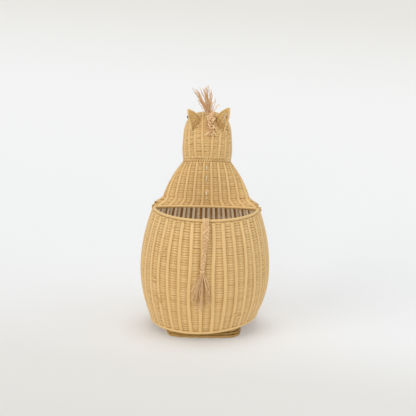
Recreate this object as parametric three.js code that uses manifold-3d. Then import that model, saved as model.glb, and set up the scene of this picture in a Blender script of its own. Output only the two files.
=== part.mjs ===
// A woven rattan toy basket shaped like a horse, in millimetres.
// +Z is up, +Y points to the horse's nose and +X to its right side.
// The origin is on the floor, under the middle of the round body.

import * as THREE from "three";
import { mergeVertices } from "three/addons/utils/BufferGeometryUtils.js";
import Module from "manifold-3d";

const wasm = await Module();
wasm.setup();

// Driving dimensions.

const GAP = 0.3; // between pieces that rest on each other

const FOOT_HEIGHT = 14;
const FOOT_HALF_WIDTH = 74;
const FOOT_HALF_LENGTH = 86;
const FOOT_SQUARENESS = 6; // 2 is an ellipse, and more is squarer
const FOOT_WALL = 6;
const FOOT_MAT_HEIGHT = 11.7; // below the lowest of the leaning base

const BASE_MAT_THICKNESS = 5;
const BORDER_CANE_RADIUS = 3;
const BASE_BOW = 5.2; // how much higher the base's edge lies at its sides than in the middle
const BASE_LEAN = 6.5; // how much more than that on the right, and less on the left

const BASE_RADIUS = 106.5; // of the body's outside, at its foot
const BELLY_RADIUS = 127;
const BELLY_HEIGHT = 98; // from the foot of the wall to its widest
const RIM_RADIUS = 105;
const SHOULDER_HEIGHT = 119; // from the widest to the rim

const STAKE_COUNT = 34; // uprights that show outside; as many more are woven in between
const STAKE_TURN = 2.5; // degrees that they stand to the right of evenly about the middle
const STAKE_RADIUS = 2.5;
const STAKE_GROOVE = 5.8; // depth of the groove that a stake lies in
const BODY_WALL = 8.6;

const RIM_CANE_RADIUS = 2.8;
const RIM_OVERHANG = 1; // how far the hoop stands out past the wall
const RIM_CORNER = 10; // length of the bend where the hoop turns into the bar

const MOUTH_CORNER_Y = -6; // where the neck's back meets the body's edge
const MOUTH_BAR_BOW = 15; // how far the bar over the mouth bows to the front

const NECK_HEIGHT = 80;
const NECK_WALL = 6;
const NECK_GROOVE = 2.4;
const NECK_RIBS = 24;
const HEAD_WALL = 5;
const HEAD_GROOVE = 2;
const HEAD_RIBS = 20;
const RIB_FLANK = 0.18; // where the grooves beside a rib are deepest, in ribs
const RIB_COLUMN = 0.34; // where the flat column between two ribs begins
const COLLAR_CANE_RADIUS = 2.5;
const COLLAR_HALF_WIDTH = 48;
const COLLAR_MIDDLE_Y = 62;
const COLLAR_FRONT_Y = 102;
const COLLAR_BACK_Y = 24;
const COLLAR_TILT = 13; // degrees, with the front lower
const HEAD_LENGTH = 125; // forward from the head's foot to the muzzle's end
const HEAD_RISE = 45; // from the head's foot to the top of its middle line
const HEAD_HALF_WIDTH = 49.5;
const CROWN_DEPTH = 49; // from the middle line to the outside of the bend
const THROAT_DEPTH = 39.5; // and to the inside
const HEAD_SQUARENESS = 2.4;
const MUZZLE_CAP_LENGTH = 13;

const EAR_RIM_RADIUS = 2;
const EAR_THICKNESS = 2.4;
const EAR_CUP = 7; // how far the ear's middle bulges to the back
const EAR_SWELL = 0.08; // bulge of the ear's sides, as a share of its root's width
const EAR_ROOT_DEPTH = 12; // how far an ear runs on into the head before it is cut
const EAR_LEAF_MARGIN = 2.7; // from the rim's middle to the woven leaf
const EAR_TIP_WIDTH = 4; // of the leaf, where the sides meet
const EYE_RADIUS = 4;
const EYE_SHARE = 0.47; // along the head
const EYE_TURN = 41; // degrees up from its side
const EYE_STAND = 0.35; // share of the bead's radius that its middle stands out

const MANE_KNOT_COUNT = 4;
const MANE_KNOT_RADIUS = 5;
const MANE_KNOT_STAND = 0.2; // share of the knot's radius that its middle stands out
const FIRST_KNOT_SHARE = 0.365; // along the head
const LAST_KNOT_SHARE = 0.24;
const MANE_STRAND_RADIUS = 2;
const TUFT_SHARE = 0.4; // along the head
const TUFT_HEIGHT = 57.5;
const TUFT_BEND_RISE = 4; // how much the strands stand up before they bend over
const CREST_STRAND_RADIUS = 1.6;
const CREST_FOOT_SHARE = 0.38; // up the neck
const CREST_TOP_SHARE = 0.97;

const TAIL_LOOP_WALL = 2.2;
const TAIL_LOOP_WIDTH = 12;
const TAIL_LOOP_CLEARANCE = 0.6; // round the rim's cane, which curves inside the loop
const BRAID_LENGTH = 76;
const BRAID_HALF_WIDTH = 7;
const BRAID_HALF_THICKNESS = 4.4;
const BRAID_END_SHARE = 0.62; // of the width that is left at the binding
const TAIL_OFFSET = 2.2; // of the braid's top from the middle, to the right
const TAIL_DRIFT = -6.4; // sideways, over the braid's length
const TAIL_STANDOFF = 0.5; // between the tail and the wall
const BINDING_LENGTH = 5;
const BINDING_WALL = 1.2;
const TASSEL_LENGTH = 79;
const TASSEL_HALF_WIDTH = 17.5;
const TASSEL_LEAN = -2.5; // how far to the left its middle ends
const TASSEL_STRAND_COUNT = 9;
const TASSEL_STRAND_RADIUS = 1.7;
const TASSEL_RAGGEDNESS = 0.18; // share of its length by which the strands differ
const TASSEL_DEPTH = 1.2; // how far the strands part from front to back
const TASSEL_KNOT_LENGTH = 6;

// Levels, from the floor up.

const borderZ = FOOT_HEIGHT + BORDER_CANE_RADIUS;
const wallFootZ = borderZ + BORDER_CANE_RADIUS + GAP;
const bellyZ = wallFootZ + BELLY_HEIGHT;
const rimZ = bellyZ + SHOULDER_HEIGHT;
const rimCaneZ = rimZ + GAP + RIM_CANE_RADIUS;
const neckFootZ = rimZ + GAP;
const hoopRadius = RIM_RADIUS - RIM_CANE_RADIUS + RIM_OVERHANG;

// The neck's shape, from the body's edge to the collar. up, narrow, middle, back, tilt:
// shares of the way from the edge's size to the collar's. swell: how far the front
// bulges past the straight line between them, in millimetres.
const NECK_SHAPE = [
  { up: 0, narrow: 0, middle: 0, back: 0, swell: 0, tilt: 0 },
  { up: 0.06, narrow: 0.04, middle: 0.15, back: 0.07, swell: 1.6, tilt: 0 },
  { up: 0.125, narrow: 0.19, middle: 0.29, back: 0.13, swell: 2.3, tilt: 0 },
  { up: 0.2, narrow: 0.335, middle: 0.44, back: 0.2, swell: 3.4, tilt: 0 },
  { up: 0.31, narrow: 0.4, middle: 0.54, back: 0.27, swell: 4.1, tilt: 0.1 },
  { up: 0.62, narrow: 0.63, middle: 0.76, back: 0.53, swell: 4.2, tilt: 0.5 },
  { up: 0.84, narrow: 0.84, middle: 0.91, back: 0.77, swell: 2.7, tilt: 0.85 },
  { up: 1, narrow: 1, middle: 1, back: 1, swell: 0, tilt: 1 },
];

const collarTilt = (COLLAR_TILT * Math.PI) / 180;
const collarMiddleY = COLLAR_MIDDLE_Y + (GAP + COLLAR_CANE_RADIUS) * Math.sin(collarTilt);
const collarZ = neckFootZ + NECK_HEIGHT + (GAP + COLLAR_CANE_RADIUS) * Math.cos(collarTilt);
const headFootY = 2 * collarMiddleY - COLLAR_MIDDLE_Y;
const headFootZ = 2 * collarZ - neckFootZ - NECK_HEIGHT;
const collarFront = (COLLAR_FRONT_Y - COLLAR_MIDDLE_Y) / Math.cos(collarTilt);
const collarBack = (COLLAR_MIDDLE_Y - COLLAR_BACK_Y) / Math.cos(collarTilt);

// The head's cross-sections, from the collar over the poll to the muzzle.
// forward, up: the middle, as shares of HEAD_LENGTH and HEAD_RISE from the head's foot;
// lean: degrees that the section's axis leans forward from upright; half, crown, throat:
// shares of HEAD_HALF_WIDTH, CROWN_DEPTH and THROAT_DEPTH.
const HEAD_SHAPE = [
  { forward: 0.024, up: 0.378, lean: 20, half: 1, crown: 0.9, throat: 1 },
  { forward: 0.08, up: 0.756, lean: 42, half: 0.98, crown: 1, throat: 0.911 },
  { forward: 0.216, up: 1, lean: 70, half: 0.95, crown: 1, throat: 0.911 },
  { forward: 0.432, up: 0.889, lean: 96, half: 0.91, crown: 0.816, throat: 0.9 },
  { forward: 0.64, up: 0.656, lean: 108, half: 0.81, crown: 0.7245, throat: 0.835 },
  { forward: 0.84, up: 0.444, lean: 111, half: 0.717, crown: 0.643, throat: 0.76 },
  { forward: 1, up: 0.278, lean: 112, half: 0.667, crown: 0.592, throat: 0.709 },
];
const HEAD = [
  { forward: 0, up: 0, lean: COLLAR_TILT, half: COLLAR_HALF_WIDTH, crown: collarBack, throat: collarFront },
  ...HEAD_SHAPE.map((share) => ({
    forward: share.forward * HEAD_LENGTH,
    up: share.up * HEAD_RISE,
    lean: share.lean,
    half: share.half * HEAD_HALF_WIDTH,
    crown: share.crown * CROWN_DEPTH,
    throat: share.throat * THROAT_DEPTH,
  })),
];

// The corners of the ears' roots and their tips, from the head's foot: out from the
// middle, forward and up, as shares of the head's half width.
const EARS = {
  right: { upper: [0.313, -0.101, 1.677], lower: [0.646, -0.444, 1.182], tip: [0.828, -0.343, 2.141] },
  left: { upper: [0.263, -0.101, 1.636], lower: [0.606, -0.444, 1.152], tip: [0.788, -0.343, 2.051] },
};

// Where the tuft's strands end, from its root, as shares of its height.
const TUFT_TIPS = [
  [-0.54, 0.07, 0.957],
  [-0.348, -0.087, 0.922],
  [-0.157, 0.052, 0.965],
  [-0.052, -0.07, 1],
  [0.035, 0.087, 0.957],
  [0.104, -0.052, 0.939],
  [0.243, 0.052, 0.591],
  [0.4, -0.052, 0.365],
  [-0.33, 0.087, 0.522],
  [-0.296, -0.07, 0.243],
];

// Shapes shared by several pieces.

const lerp = THREE.MathUtils.lerp;

// A value between named stations, on a smooth curve through them.
function smooth(values, at) {
  const place = THREE.MathUtils.clamp(at, 0, 1) * (values.length - 1);
  const i = Math.min(Math.floor(place), values.length - 2);
  const t = place - i;
  const p = (k) => values[THREE.MathUtils.clamp(k, 0, values.length - 1)];
  const a = i > 0 ? (p(i + 1) - p(i - 1)) / 2 : p(i + 1) - p(i);
  const b = i + 2 < values.length ? (p(i + 2) - p(i)) / 2 : p(i + 1) - p(i);
  const d = p(i + 1) - p(i);
  return p(i) + a * t + (3 * d - 2 * a - b) * t * t + (a + b - 2 * d) * t * t * t;
}

function stationAt(stations, at) {
  const found = {};
  for (const key of Object.keys(stations[0])) found[key] = smooth(stations.map((s) => s[key]), at);
  return found;
}

// A point on a unit ring that is squarer than a circle.
function squarish(turn, squareness) {
  const pull = (value) => Math.sign(value) * Math.abs(value) ** (2 / squareness);
  return [pull(Math.cos(turn)), pull(Math.sin(turn))];
}

// One closed body through rings of as many points each: capped at both ends, or joined
// end to end when it is a loop.
function skin(rings, isLoop = false) {
  const n = rings[0].length;
  const points = rings.flat();
  const faces = [];
  const joins = isLoop ? rings.length : rings.length - 1;
  for (let r = 0; r < joins; r++) {
    const here = r * n;
    const next = ((r + 1) % rings.length) * n;
    for (let k = 0; k < n; k++) {
      const l = (k + 1) % n;
      faces.push(here + k, here + l, next + l, here + k, next + l, next + k);
    }
  }
  if (!isLoop) {
    for (const [first, turned] of [[0, true], [(rings.length - 1) * n, false]]) {
      const middle = new THREE.Vector3();
      for (let k = 0; k < n; k++) middle.addScaledVector(points[first + k], 1 / n);
      const m = points.push(middle) - 1;
      for (let k = 0; k < n; k++) {
        const l = (k + 1) % n;
        if (turned) faces.push(m, first + l, first + k);
        else faces.push(m, first + k, first + l);
      }
    }
  }
  let volume = 0;
  for (let i = 0; i < faces.length; i += 3) {
    const [a, b, c] = [points[faces[i]], points[faces[i + 1]], points[faces[i + 2]]];
    volume += a.dot(b.clone().cross(c));
  }
  if (volume < 0) faces.reverse();
  const flat = new Float32Array(points.flatMap((p) => [p.x, p.y, p.z]));
  return new THREE.BufferGeometry()
    .setAttribute("position", new THREE.BufferAttribute(flat, 3))
    .setIndex(faces);
}

// A tube with walls: outer rings up, then inner rings down.
const shell = (outer, inner) => skin([...outer, ...[...inner].reverse()], true);

// A round bar along a level closed line.
function levelHoop(line, z, radius, sides = 8) {
  const rings = line.map((p, i) => {
    const before = line[(i + line.length - 1) % line.length];
    const after = line[(i + 1) % line.length];
    const out = new THREE.Vector2(after.y - before.y, before.x - after.x).normalize();
    return Array.from({ length: sides }, (_, k) => {
      const turn = (2 * Math.PI * k) / sides;
      const reach = radius * Math.cos(turn);
      return new THREE.Vector3(p.x + out.x * reach, p.y + out.y * reach, z + radius * Math.sin(turn));
    });
  });
  return skin(rings, true);
}

// A tapering strand through points, as closed rings with their own half width and thickness.
function strand(points, radii, sides = 5) {
  const curve = new THREE.CatmullRomCurve3(points);
  const steps = radii.length - 1;
  const side = new THREE.Vector3();
  const rise = new THREE.Vector3();
  const rings = radii.map((radius, i) => {
    const middle = curve.getPoint(i / steps);
    const along = curve.getTangent(i / steps);
    side.crossVectors(along, new THREE.Vector3(0, 1, 0)).normalize();
    rise.crossVectors(side, along).normalize();
    const [wide, thick] = Array.isArray(radius) ? radius : [radius, radius];
    return Array.from({ length: sides }, (_, k) => {
      const turn = (2 * Math.PI * k) / sides;
      return middle
        .clone()
        .addScaledVector(side, wide * Math.cos(turn))
        .addScaledVector(rise, thick * Math.sin(turn));
    });
  });
  return skin(rings);
}

function solid(geometry) {
  const bare = new THREE.BufferGeometry()
    .setAttribute("position", geometry.getAttribute("position").clone())
    .setIndex(geometry.index ? geometry.index.clone() : null);
  const merged = mergeVertices(bare, 1e-4);
  return new wasm.Manifold(
    new wasm.Mesh({
      numProp: 3,
      vertProperties: merged.getAttribute("position").array,
      triVerts: new Uint32Array(merged.index.array),
    }),
  );
}

function geometryOf(manifold) {
  const mesh = manifold.getMesh();
  const n = mesh.numProp;
  const flat = new Float32Array(mesh.numVert * 3);
  for (let i = 0; i < mesh.numVert; i++) flat.set(mesh.vertProperties.subarray(i * n, i * n + 3), i * 3);
  return new THREE.BufferGeometry()
    .setAttribute("position", new THREE.BufferAttribute(flat, 3))
    .setIndex(new THREE.BufferAttribute(new Uint32Array(mesh.triVerts), 1));
}

const cut = (geometry, ...tools) =>
  geometryOf(tools.reduce((left, tool) => left.subtract(tool), solid(geometry)));
const fuse = (geometries) => geometryOf(geometries.map(solid).reduce((a, b) => a.add(b)));

const rattan = new THREE.MeshStandardMaterial({ color: 0xd2ad72, roughness: 0.55, metalness: 0 });
const stakeRattan = new THREE.MeshStandardMaterial({ color: 0xdcb97e, roughness: 0.45, metalness: 0 });
const footRattan = new THREE.MeshStandardMaterial({ color: 0xb98c4c, roughness: 0.6, metalness: 0 });
const raffia = new THREE.MeshStandardMaterial({ color: 0xcfa078, roughness: 0.8, metalness: 0 });
const bead = new THREE.MeshStandardMaterial({ color: 0x1a1716, roughness: 0.25, metalness: 0 });

const basket = new THREE.Group();

function place(name, geometry, material) {
  geometry.computeVertexNormals();
  const mesh = new THREE.Mesh(geometry, material);
  mesh.name = name;
  basket.add(mesh);
  return mesh;
}

// Bends up the sides of the base. The foot takes up the bend from the floor to its top, and
// the wall evens it out from its foot to the belly.
function bendBase(geometry) {
  const position = geometry.getAttribute("position");
  for (let i = 0; i < position.count; i++) {
    const z = position.getZ(i);
    const side = position.getX(i) / BASE_RADIUS;
    const inWall = THREE.MathUtils.clamp((bellyZ - z) / BELLY_HEIGHT, 0, 1) ** 2;
    const hold = z < FOOT_HEIGHT ? z / FOOT_HEIGHT : inWall;
    position.setZ(i, z + hold * (BASE_BOW * side * side + BASE_LEAN * side));
  }
  return geometry;
}

// The foot: a squarish woven band under the body, with a woven mat inside it.

function footOutline(inset) {
  return Array.from({ length: 40 }, (_, k) => {
    const [across, along] = squarish((2 * Math.PI * k) / 40, FOOT_SQUARENESS);
    return new THREE.Vector2((FOOT_HALF_WIDTH - inset) * across, (FOOT_HALF_LENGTH - inset) * along);
  });
}

function makeFoot() {
  const ring = (inset) => [0, FOOT_HEIGHT].map((z) => footOutline(inset).map((p) => new THREE.Vector3(p.x, p.y, z)));
  place("foot_band", bendBase(shell(ring(0), ring(FOOT_WALL))), footRattan);
  const mat = new THREE.Shape(footOutline(FOOT_WALL + GAP));
  const plate = new THREE.ExtrudeGeometry(mat, { depth: FOOT_MAT_HEIGHT, bevelEnabled: false });
  place("foot_mat", plate, footRattan);
}

// The floor of the basket, and the cane round it that the uprights are tied to.

const borderRadius = BASE_RADIUS - STAKE_RADIUS;

function circle(radius, count) {
  return Array.from({ length: count }, (_, k) => {
    const turn = (2 * Math.PI * k) / count;
    return new THREE.Vector2(radius * Math.cos(turn), radius * Math.sin(turn));
  });
}

function makeBase() {
  const radius = borderRadius - BORDER_CANE_RADIUS - GAP;
  const mat = new THREE.CylinderGeometry(radius, radius, BASE_MAT_THICKNESS, 48);
  mat.rotateX(Math.PI / 2).translate(0, 0, FOOT_HEIGHT + GAP + BASE_MAT_THICKNESS / 2);
  place("base_mat", bendBase(mat), rattan);
  const hoop = levelHoop(circle(borderRadius, 48), borderZ, BORDER_CANE_RADIUS, 6);
  place("base_border", bendBase(hoop), stakeRattan);
}

// The round body: a woven wall with a groove for each upright that shows.

function bodyRadius(z) {
  const below = z < bellyZ;
  const end = below ? BASE_RADIUS : RIM_RADIUS;
  const share = (z - bellyZ) / (below ? BELLY_HEIGHT : SHOULDER_HEIGHT);
  return BELLY_RADIUS - (BELLY_RADIUS - end) * share * share;
}

// How far round the body a stake stands, from the X axis.
function stakeTurn(k) {
  return (2 * Math.PI * (k + 0.5)) / STAKE_COUNT - Math.PI / 2 + THREE.MathUtils.degToRad(STAKE_TURN);
}

const bodyLevels = Array.from({ length: 10 }, (_, i) => lerp(wallFootZ, rimZ, i / 9));

function bodyRing(z, isOuter) {
  const columns = 2 * STAKE_COUNT;
  return Array.from({ length: columns }, (_, k) => {
    const turn = stakeTurn((k - 1) / 2);
    const depth = isOuter ? (k % 2 ? STAKE_GROOVE : 0) : BODY_WALL;
    const reach = bodyRadius(z) - depth;
    return new THREE.Vector3(reach * Math.cos(turn), reach * Math.sin(turn), z);
  });
}

function makeBody() {
  const wall = shell(bodyLevels.map((z) => bodyRing(z, true)), bodyLevels.map((z) => bodyRing(z, false)));
  const throughWall = 4 * BODY_WALL;
  const notch = new THREE.BoxGeometry(
    TAIL_LOOP_WIDTH + 2 * TAIL_LOOP_CLEARANCE,
    throughWall,
    2 * (tailLoopRadius + TAIL_LOOP_CLEARANCE),
  );
  notch.translate(0, -hoopRadius, rimCaneZ);
  const room = solid(notch);
  place("body_wall", cut(bendBase(wall), room), rattan);
  const upright = new THREE.Vector3(0, 0, 1);
  for (let k = 0; k < STAKE_COUNT; k++) {
    const turn = stakeTurn(k);
    const rings = bodyLevels.map((z) => {
      const middle = new THREE.Vector3(bodyRadius(z) - STAKE_RADIUS, 0, z);
      return circle(STAKE_RADIUS, 5).map((p) => {
        return new THREE.Vector3(p.x, p.y, 0).add(middle).applyAxisAngle(upright, turn);
      });
    });
    place("stake_" + String(k + 1).padStart(2, "0"), cut(bendBase(skin(rings)), room), stakeRattan);
  }
}

// The neck: a woven tube from the front of the body's edge to the collar.

function neckRing(shape, inset, groove) {
  const points = 2 * NECK_RIBS;
  const middle = lerp(MOUTH_CORNER_Y, COLLAR_MIDDLE_Y, shape.middle);
  const half = lerp(RIM_RADIUS, COLLAR_HALF_WIDTH, shape.narrow) - inset;
  const frontY = lerp(RIM_RADIUS, COLLAR_FRONT_Y, shape.up) + shape.swell - inset;
  const backY = lerp(MOUTH_CORNER_Y + MOUTH_BAR_BOW, COLLAR_BACK_Y, shape.back) + inset;
  const fall = Math.tan(shape.tilt * collarTilt);
  return Array.from({ length: points }, (_, k) => {
    const turn = (2 * Math.PI * k) / points;
    const depth = k % 2 ? groove : 0;
    const reach = Math.sin(turn) > 0 ? frontY - middle - depth : middle - backY - depth;
    const y = middle + reach * Math.sin(turn);
    const z = neckFootZ + NECK_HEIGHT * shape.up - fall * (y - COLLAR_MIDDLE_Y);
    return new THREE.Vector3((half - depth) * Math.cos(turn), y, z);
  });
}

function makeNeck() {
  const steps = 11;
  const shapes = Array.from({ length: steps + 1 }, (_, i) => stationAt(NECK_SHAPE, i / steps));
  const outer = shapes.map((shape) => neckRing(shape, 0, NECK_GROOVE));
  const inner = shapes.map((shape) => neckRing(shape, NECK_WALL, 0));
  place("neck_wall", shell(outer, inner), rattan);
  const line = circle(1, 36).map((p) => {
    const reach = (p.y > 0 ? collarFront : collarBack) - COLLAR_CANE_RADIUS;
    return new THREE.Vector2(p.x * (COLLAR_HALF_WIDTH - COLLAR_CANE_RADIUS), p.y * reach);
  });
  const collar = place("neck_collar", levelHoop(line, 0, COLLAR_CANE_RADIUS, 6), stakeRattan);
  collar.position.set(0, collarMiddleY, collarZ);
  collar.rotation.x = -collarTilt;
}

// The rim: one cane hoop round the mouth, with the bar across the foot of the neck.

function barY(x) {
  const share = Math.sqrt(Math.max(0, 1 - (x / RIM_RADIUS) ** 2));
  return MOUTH_CORNER_Y + MOUTH_BAR_BOW * share - RIM_CANE_RADIUS - GAP;
}

function rimLine() {
  const cornerY = barY(hoopRadius);
  const bend = Math.asin((RIM_CORNER - cornerY) / hoopRadius);
  const barEnd = hoopRadius - RIM_CORNER;
  const line = [];
  const arcSteps = 30;
  for (let i = 0; i <= arcSteps; i++) {
    const turn = lerp(-Math.PI + bend, -bend, i / arcSteps);
    line.push(new THREE.Vector2(hoopRadius * Math.cos(turn), hoopRadius * Math.sin(turn)));
  }
  const corner = (side) => {
    const from = new THREE.Vector2(side * hoopRadius * Math.cos(bend), -hoopRadius * Math.sin(bend));
    const edge = new THREE.Vector2(side * hoopRadius, cornerY);
    const to = new THREE.Vector2(side * barEnd, barY(barEnd));
    return new THREE.QuadraticBezierCurve(from, edge, to).getPoints(5);
  };
  line.push(...corner(1).slice(1));
  const barSteps = 12;
  for (let i = 1; i < barSteps; i++) {
    const x = lerp(barEnd, -barEnd, i / barSteps);
    line.push(new THREE.Vector2(x, barY(x)));
  }
  line.push(...corner(-1).reverse().slice(0, -1));
  return line;
}

function makeRim() {
  place("rim_hoop", levelHoop(rimLine(), rimCaneZ, RIM_CANE_RADIUS, 6), stakeRattan);
}

// The head: a woven tube that bends from the collar over the poll to the muzzle.

// A point on the head, at a share of its length and an angle round it, with 90 degrees on
// the crown. grow moves it out from the surface.
function headPoint(at, turn, grow = 0) {
  const section = stationAt(HEAD, at);
  const lean = THREE.MathUtils.degToRad(section.lean);
  const [across, along] = squarish(turn, lerp(2, HEAD_SQUARENESS, Math.min(1, 4 * at)));
  const reach = (Math.sin(turn) > 0 ? section.crown : section.throat) + grow;
  const crown = new THREE.Vector3(0, -Math.cos(lean), Math.sin(lean));
  const middle = new THREE.Vector3(0, headFootY + section.forward, headFootZ + section.up);
  middle.x = (section.half + grow) * across;
  return middle.addScaledVector(crown, reach * along);
}

// One rib round the head, with the share of the groove's depth at each point.
const ribProfile = [[0, 0], [RIB_FLANK, 1], [RIB_COLUMN, 0], [1 - RIB_COLUMN, 0], [1 - RIB_FLANK, 1]];

function headRing(at, grow, groove) {
  return Array.from({ length: HEAD_RIBS }, (_, k) =>
    ribProfile.map(([step, depth]) => {
      const turn = (2 * Math.PI * (k + 0.5 + step)) / HEAD_RIBS;
      return headPoint(at, turn, grow - depth * groove);
    }),
  ).flat();
}

const headSteps = 14;
const headShares = Array.from({ length: headSteps + 1 }, (_, i) => i / headSteps);
const headFilled = (grow) => solid(skin(headShares.map((at) => headRing(at, grow, 0))));

function makeHead() {
  const outer = headShares.map((at) => headRing(at, 0, HEAD_GROOVE));
  const inner = headShares.map((at) => headRing(at, -HEAD_WALL, 0));
  place("head_wall", shell(outer, inner), rattan);
  const end = HEAD[HEAD.length - 1];
  const lean = THREE.MathUtils.degToRad(end.lean);
  const ahead = new THREE.Vector3(0, Math.sin(lean), Math.cos(lean));
  const middle = new THREE.Vector3(0, headFootY + end.forward, headFootZ + end.up);
  const rim = headRing(1, 0, 0);
  const domeSteps = 4;
  const rings = Array.from({ length: domeSteps + 1 }, (_, i) => {
    const turn = (0.94 * Math.PI * i) / (2 * domeSteps);
    const forward = GAP + MUZZLE_CAP_LENGTH * Math.sin(turn);
    return rim.map((p) => middle.clone().lerp(p, Math.cos(turn)).addScaledVector(ahead, forward));
  });
  place("muzzle_cap", skin(rings), rattan);
}

// The ears: a woven leaf in a bent cane, tied to the back of the head.
// Both are shaped as right ears, and the left one is turned into its mirror image.

// The ear's own directions: across its root, up to its tip, and out of its back.
function earFrame({ upper, lower, tip }) {
  const headFoot = new THREE.Vector3(0, headFootY, headFootZ);
  const corner = (shares) => new THREE.Vector3(...shares).multiplyScalar(HEAD_HALF_WIDTH).add(headFoot);
  const origin = corner(upper);
  const root = corner(lower).sub(origin);
  const across = root.clone().normalize();
  const up = corner(tip).sub(origin);
  const tipAcross = up.dot(across);
  up.addScaledVector(across, -tipAcross);
  const height = up.length();
  up.normalize();
  return { origin, across, up, back: across.clone().cross(up), width: root.length(), tipAcross, height };
}

// A point on the ear: side runs from 0, its upper edge, to 1, its lower edge, and rise
// from -1, inside the head, over 0, the root, to 1, the tip.
function earPoint(ear, side, rise, back = 0) {
  const share = Math.max(rise, 0);
  const upTo = rise < 0 ? rise * EAR_ROOT_DEPTH : rise * ear.height;
  const swell = EAR_SWELL * ear.width * Math.sin(Math.PI * share);
  const upper = share * ear.tipAcross - swell;
  const lower = lerp(ear.width, ear.tipAcross, share) + swell / 2;
  const cup = EAR_CUP * (1 - share ** 2) * (1 - (2 * side - 1) ** 2);
  return ear.origin
    .clone()
    .addScaledVector(ear.across, lerp(upper, lower, side))
    .addScaledVector(ear.up, upTo)
    .addScaledVector(ear.back, cup + back);
}

function makeEars() {
  const head = headFilled(GAP);
  const sides = 7;
  for (const [name, mirror] of [["right", 1], ["left", -1]]) {
    const ear = earFrame(EARS[name]);
    const leafRings = [-1, 0, 0.2, 0.4, 0.6, 0.78].map((rise) => {
      const margin = EAR_LEAF_MARGIN / (ear.width * (1 - Math.max(rise, 0)) + EAR_TIP_WIDTH);
      const row = (back) =>
        Array.from({ length: sides }, (_, i) =>
          earPoint(ear, lerp(margin, 1 - margin, i / (sides - 1)), rise, back),
        );
      return [...row(EAR_THICKNESS / 2), ...row(-EAR_THICKNESS / 2).reverse()];
    });
    place("ear_leaf_" + name, cut(skin(leafRings), head), rattan).scale.x = mirror;
    const edge = [-1, 0, 0.25, 0.5, 0.75, 0.93].map((rise) => earPoint(ear, 0, rise));
    edge.push(earPoint(ear, 0.5, 1.03));
    edge.push(...[0.93, 0.75, 0.5, 0.25, 0, -1].map((rise) => earPoint(ear, 1, rise)));
    const section = new THREE.Shape(circle(EAR_RIM_RADIUS, 6));
    const path = new THREE.CatmullRomCurve3(edge);
    const rim = new THREE.ExtrudeGeometry(section, { steps: 26, extrudePath: path });
    place("ear_rim_" + name, cut(rim, head), stakeRattan).scale.x = mirror;
  }
}

// The eyes: black beads on the sides of the forehead.

function makeEyes() {
  const turn = THREE.MathUtils.degToRad(EYE_TURN);
  const ball = new THREE.SphereGeometry(EYE_RADIUS, 12, 8);
  const middle = headPoint(EYE_SHARE, turn, EYE_STAND * EYE_RADIUS);
  ball.translate(middle.x, middle.y, middle.z);
  const seated = cut(ball, headFilled(GAP));
  place("eye_right", seated.clone(), bead);
  place("eye_left", seated.clone(), bead).scale.x = -1;
}

// The mane: raffia knots down the back of the head, a lacing down the neck, and a tuft.

const crownPoint = (at, grow = 0) => headPoint(at, Math.PI / 2, grow);

function makeMane() {
  const head = headFilled(GAP);
  for (let k = 0; k < MANE_KNOT_COUNT; k++) {
    const at = lerp(FIRST_KNOT_SHARE, LAST_KNOT_SHARE, k / (MANE_KNOT_COUNT - 1));
    const knot = new THREE.SphereGeometry(MANE_KNOT_RADIUS, 10, 7);
    const middle = crownPoint(at, MANE_KNOT_STAND * MANE_KNOT_RADIUS);
    knot.translate(middle.x, middle.y, middle.z);
    place("mane_knot_" + (k + 1), cut(knot, head), raffia);
  }
  const root = crownPoint(TUFT_SHARE, MANE_STRAND_RADIUS);
  const ball = new THREE.SphereGeometry(2 * MANE_STRAND_RADIUS, 8, 6).translate(root.x, root.y, root.z);
  const strands = TUFT_TIPS.map((shares) => {
    const reach = new THREE.Vector3(...shares).multiplyScalar(TUFT_HEIGHT);
    const tip = root.clone().add(reach);
    const bend = new THREE.Vector3(0.3, 0.6, 0.55).multiply(reach).add(root);
    bend.z += TUFT_BEND_RISE;
    return strand([root, bend, tip], [0.9, 1, 0.75, 0.4].map((share) => share * MANE_STRAND_RADIUS));
  });
  place("mane_tuft", cut(fuse([ball, ...strands]), head), raffia);
}

function makeLacing() {
  const stand = CREST_STRAND_RADIUS + GAP;
  const line = Array.from({ length: 8 }, (_, i) => {
    const up = lerp(CREST_FOOT_SHARE, CREST_TOP_SHARE, i / 7);
    const back = neckRing(stationAt(NECK_SHAPE, up), 0, 0)[1.5 * NECK_RIBS];
    return new THREE.Vector3(0, back.y - stand, back.z);
  });
  const radii = Array.from({ length: 10 }, () => [1.4 * CREST_STRAND_RADIUS, CREST_STRAND_RADIUS]);
  place("crest_lacing", strand(line, radii), raffia);
}

// The tail: a loop round the rim's cane, a braid that hangs from it, its binding and the tassel.

const tailLoopHole = RIM_CANE_RADIUS + TAIL_LOOP_CLEARANCE;
const tailLoopRadius = tailLoopHole + TAIL_LOOP_WALL;
const tailTopZ = rimCaneZ - tailLoopRadius - GAP - BRAID_HALF_WIDTH;

// How far out the tail's middle lies at a height: on the wall, and straight down past the belly.
const tailY = (z, halfThickness) => -(bodyRadius(Math.max(z, bellyZ)) + TAIL_STANDOFF + halfThickness);

function braidMiddle(share, thin = 1) {
  const z = tailTopZ - share * BRAID_LENGTH;
  return new THREE.Vector3(TAIL_OFFSET + TAIL_DRIFT * share, tailY(z, thin * BRAID_HALF_THICKNESS), z);
}

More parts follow.
